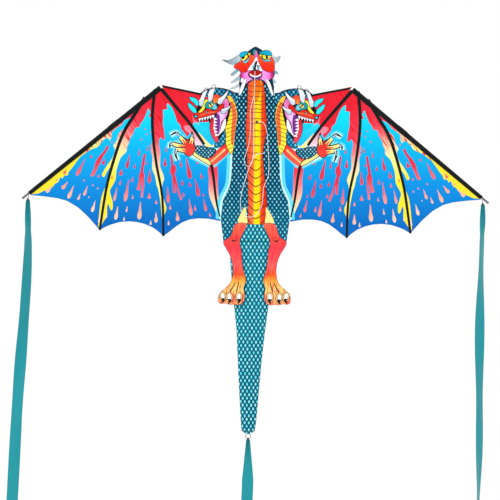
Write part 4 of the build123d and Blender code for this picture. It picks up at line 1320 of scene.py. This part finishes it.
def ribbon(name, x, y, z, drift, bow, turns, phase):
    """A ribbon hanging from its knot, turned edge on by so many degrees at its top and at its foot."""
    rows, pattern = [], []
    for step in range(ribbon_steps + 1):
        fall = ribbon_length * step / ribbon_steps
        opened = min(1.0, 0.2 + fall / 210) if fall < 168 else 1.0
        pleat = 1.0 - opened
        span = ribbon_width * (0.2 + 0.8 * opened - 0.05)
        turn = radians(float(np.interp(fall, (0, 120, 900), (0, *turns))))
        loose = min(1.0, fall / 200)
        twist = turn + radians(16) * sin(fall / 210 + phase) * loose
        twist += radians(8) * sin(fall / 77 + phase * 2)
        sway = (6.0 * sin(fall / 240 + phase) + 13.0 * sin(turn)) * min(1.0, fall / 150)
        middle = x + drift * (fall / ribbon_length) ** bow
        middle += 4.0 * sin(fall / 190 + phase) * loose
        row, spots = [], []
        for n in range(ribbon_strips + 1):
            share = n / ribbon_strips - 0.5
            across = span * share
            deep = 5.0 * pleat * sin(share * 6 * pi) + 1.2 * cos(share * 2 * pi) * sin(fall / 95 + phase)
            row.append(((middle + across * cos(twist)) * MM, (y + sway + deep + across * sin(twist)) * MM,
                        (z - fall) * MM))
            spots.append((share * ribbon_width * MM, -fall * MM))
        rows.append(row)
        pattern.append(spots)
    return cloth_grid(name, rows, 0.3 * MM, teal_cloth, pattern)


for name, body, node, x, y, z, drift, bow, turns, phase in (
    ("left_ribbon", "left_wing_streamer", "left_streamer", -935.5, -11, -627.5, -58, 1.5, (48, 4), 0.4),
    ("right_ribbon", "right_wing_streamer", "right_streamer", 935.5, -11, -627.5, -8, 1.1, (54, 44), 2.1),
    ("tail_ribbon", "tail_end_streamer", "tail_streamer", -20, 24, -1607.5, -26, 1.1, (0, 0), 1.2),
):
    piece = ribbon(name, x, y, z, drift, bow, turns, phase)
    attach(piece, body)
    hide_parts(node)


# Frame: six millimetre black glassfibre rods with moulded caps and a moulded hub on the spine, soft vinyl
# connectors on the leading edges, and sewn black tunnels, loops and cords that hold it all to the sail.
def moulded(name, colour, roughness, coat=0.0, spots=120.0, grain=900.0, bump_distance=0.0002, depth=0.3):
    """A moulded or pulled material with a soft mottle and a fine grain."""
    material, tree, shader = surface(name, roughness, coat=coat)
    base = add(tree, "ShaderNodeGroup", {"Spots": spots, "Grain": grain, "Depth": depth}, node_tree=mottled)
    base.inputs["Colour"].default_value = colour
    finish_from(tree, shader, base, bump_distance)
    return material


glassfibre, tree, shader = surface("black_glassfibre", 0.35, coat=0.3)
place = add(tree, "ShaderNodeTexCoord")
base = add(tree, "ShaderNodeGroup", {}, node_tree=mottled)
base.inputs["Colour"].default_value = dye(34, 36, 38)
wrap = add(tree, "ShaderNodeTexWave", {"Vector": place.outputs["Object"], "Scale": 160.0, "Distortion": 0.6},
           wave_type="BANDS", bands_direction="DIAGONAL")
finish_from(tree, shader, base, 0.00015, height=wrap.outputs["Fac"], strength=0.4)
black_plastic = moulded("black_plastic", dye(28, 30, 32), 0.4)
grey_cap = moulded("grey_end_cap", dye(96, 102, 108), 0.45)
soft_vinyl = moulded("soft_black_vinyl", dye(22, 22, 24), 0.35, coat=0.15, spots=60.0, grain=500.0)
black_cord = braided_line("black_braided_cord", dye(24, 26, 28))
tunnel_cloth = moulded("black_tunnel_cloth", dye(26, 30, 32), 0.75, spots=40.0, grain=1400.0,
                       bump_distance=0.0004)
tab_cloth = moulded("teal_tab_cloth", dye(0, 110, 126), 0.7, spots=60.0, grain=1400.0, bump_distance=0.0004)


def give(material, *nodes):
    """Puts a material on CAD nodes."""
    for name in nodes:
        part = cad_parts[name]
        if not part.material_slots:
            part.data.materials.append(material)
        for held in part.material_slots:
            held.material = material


give(glassfibre, "spine_rod",
     *(f"{side}_{rod}" for side in ("left", "right") for rod in ("edge_rod", "spreader_rod")))
give(black_plastic, "spine_cap_top", "spine_cap_bottom", "hub", "left_hub_arm", "right_hub_arm",
     "left_apex_cap", "right_apex_cap")
give(grey_cap, "left_tip_cap", "right_tip_cap")
give(soft_vinyl, "left_connector", "right_connector")
give(tunnel_cloth, "spine_tunnel_upper", "spine_tunnel_lower", "bridle_tab_nose", "bridle_tab_belly")
give(tab_cloth, "tail_tab")
give(black_cord, "left_streamer_tie", "right_streamer_tie", "tail_streamer_tie")
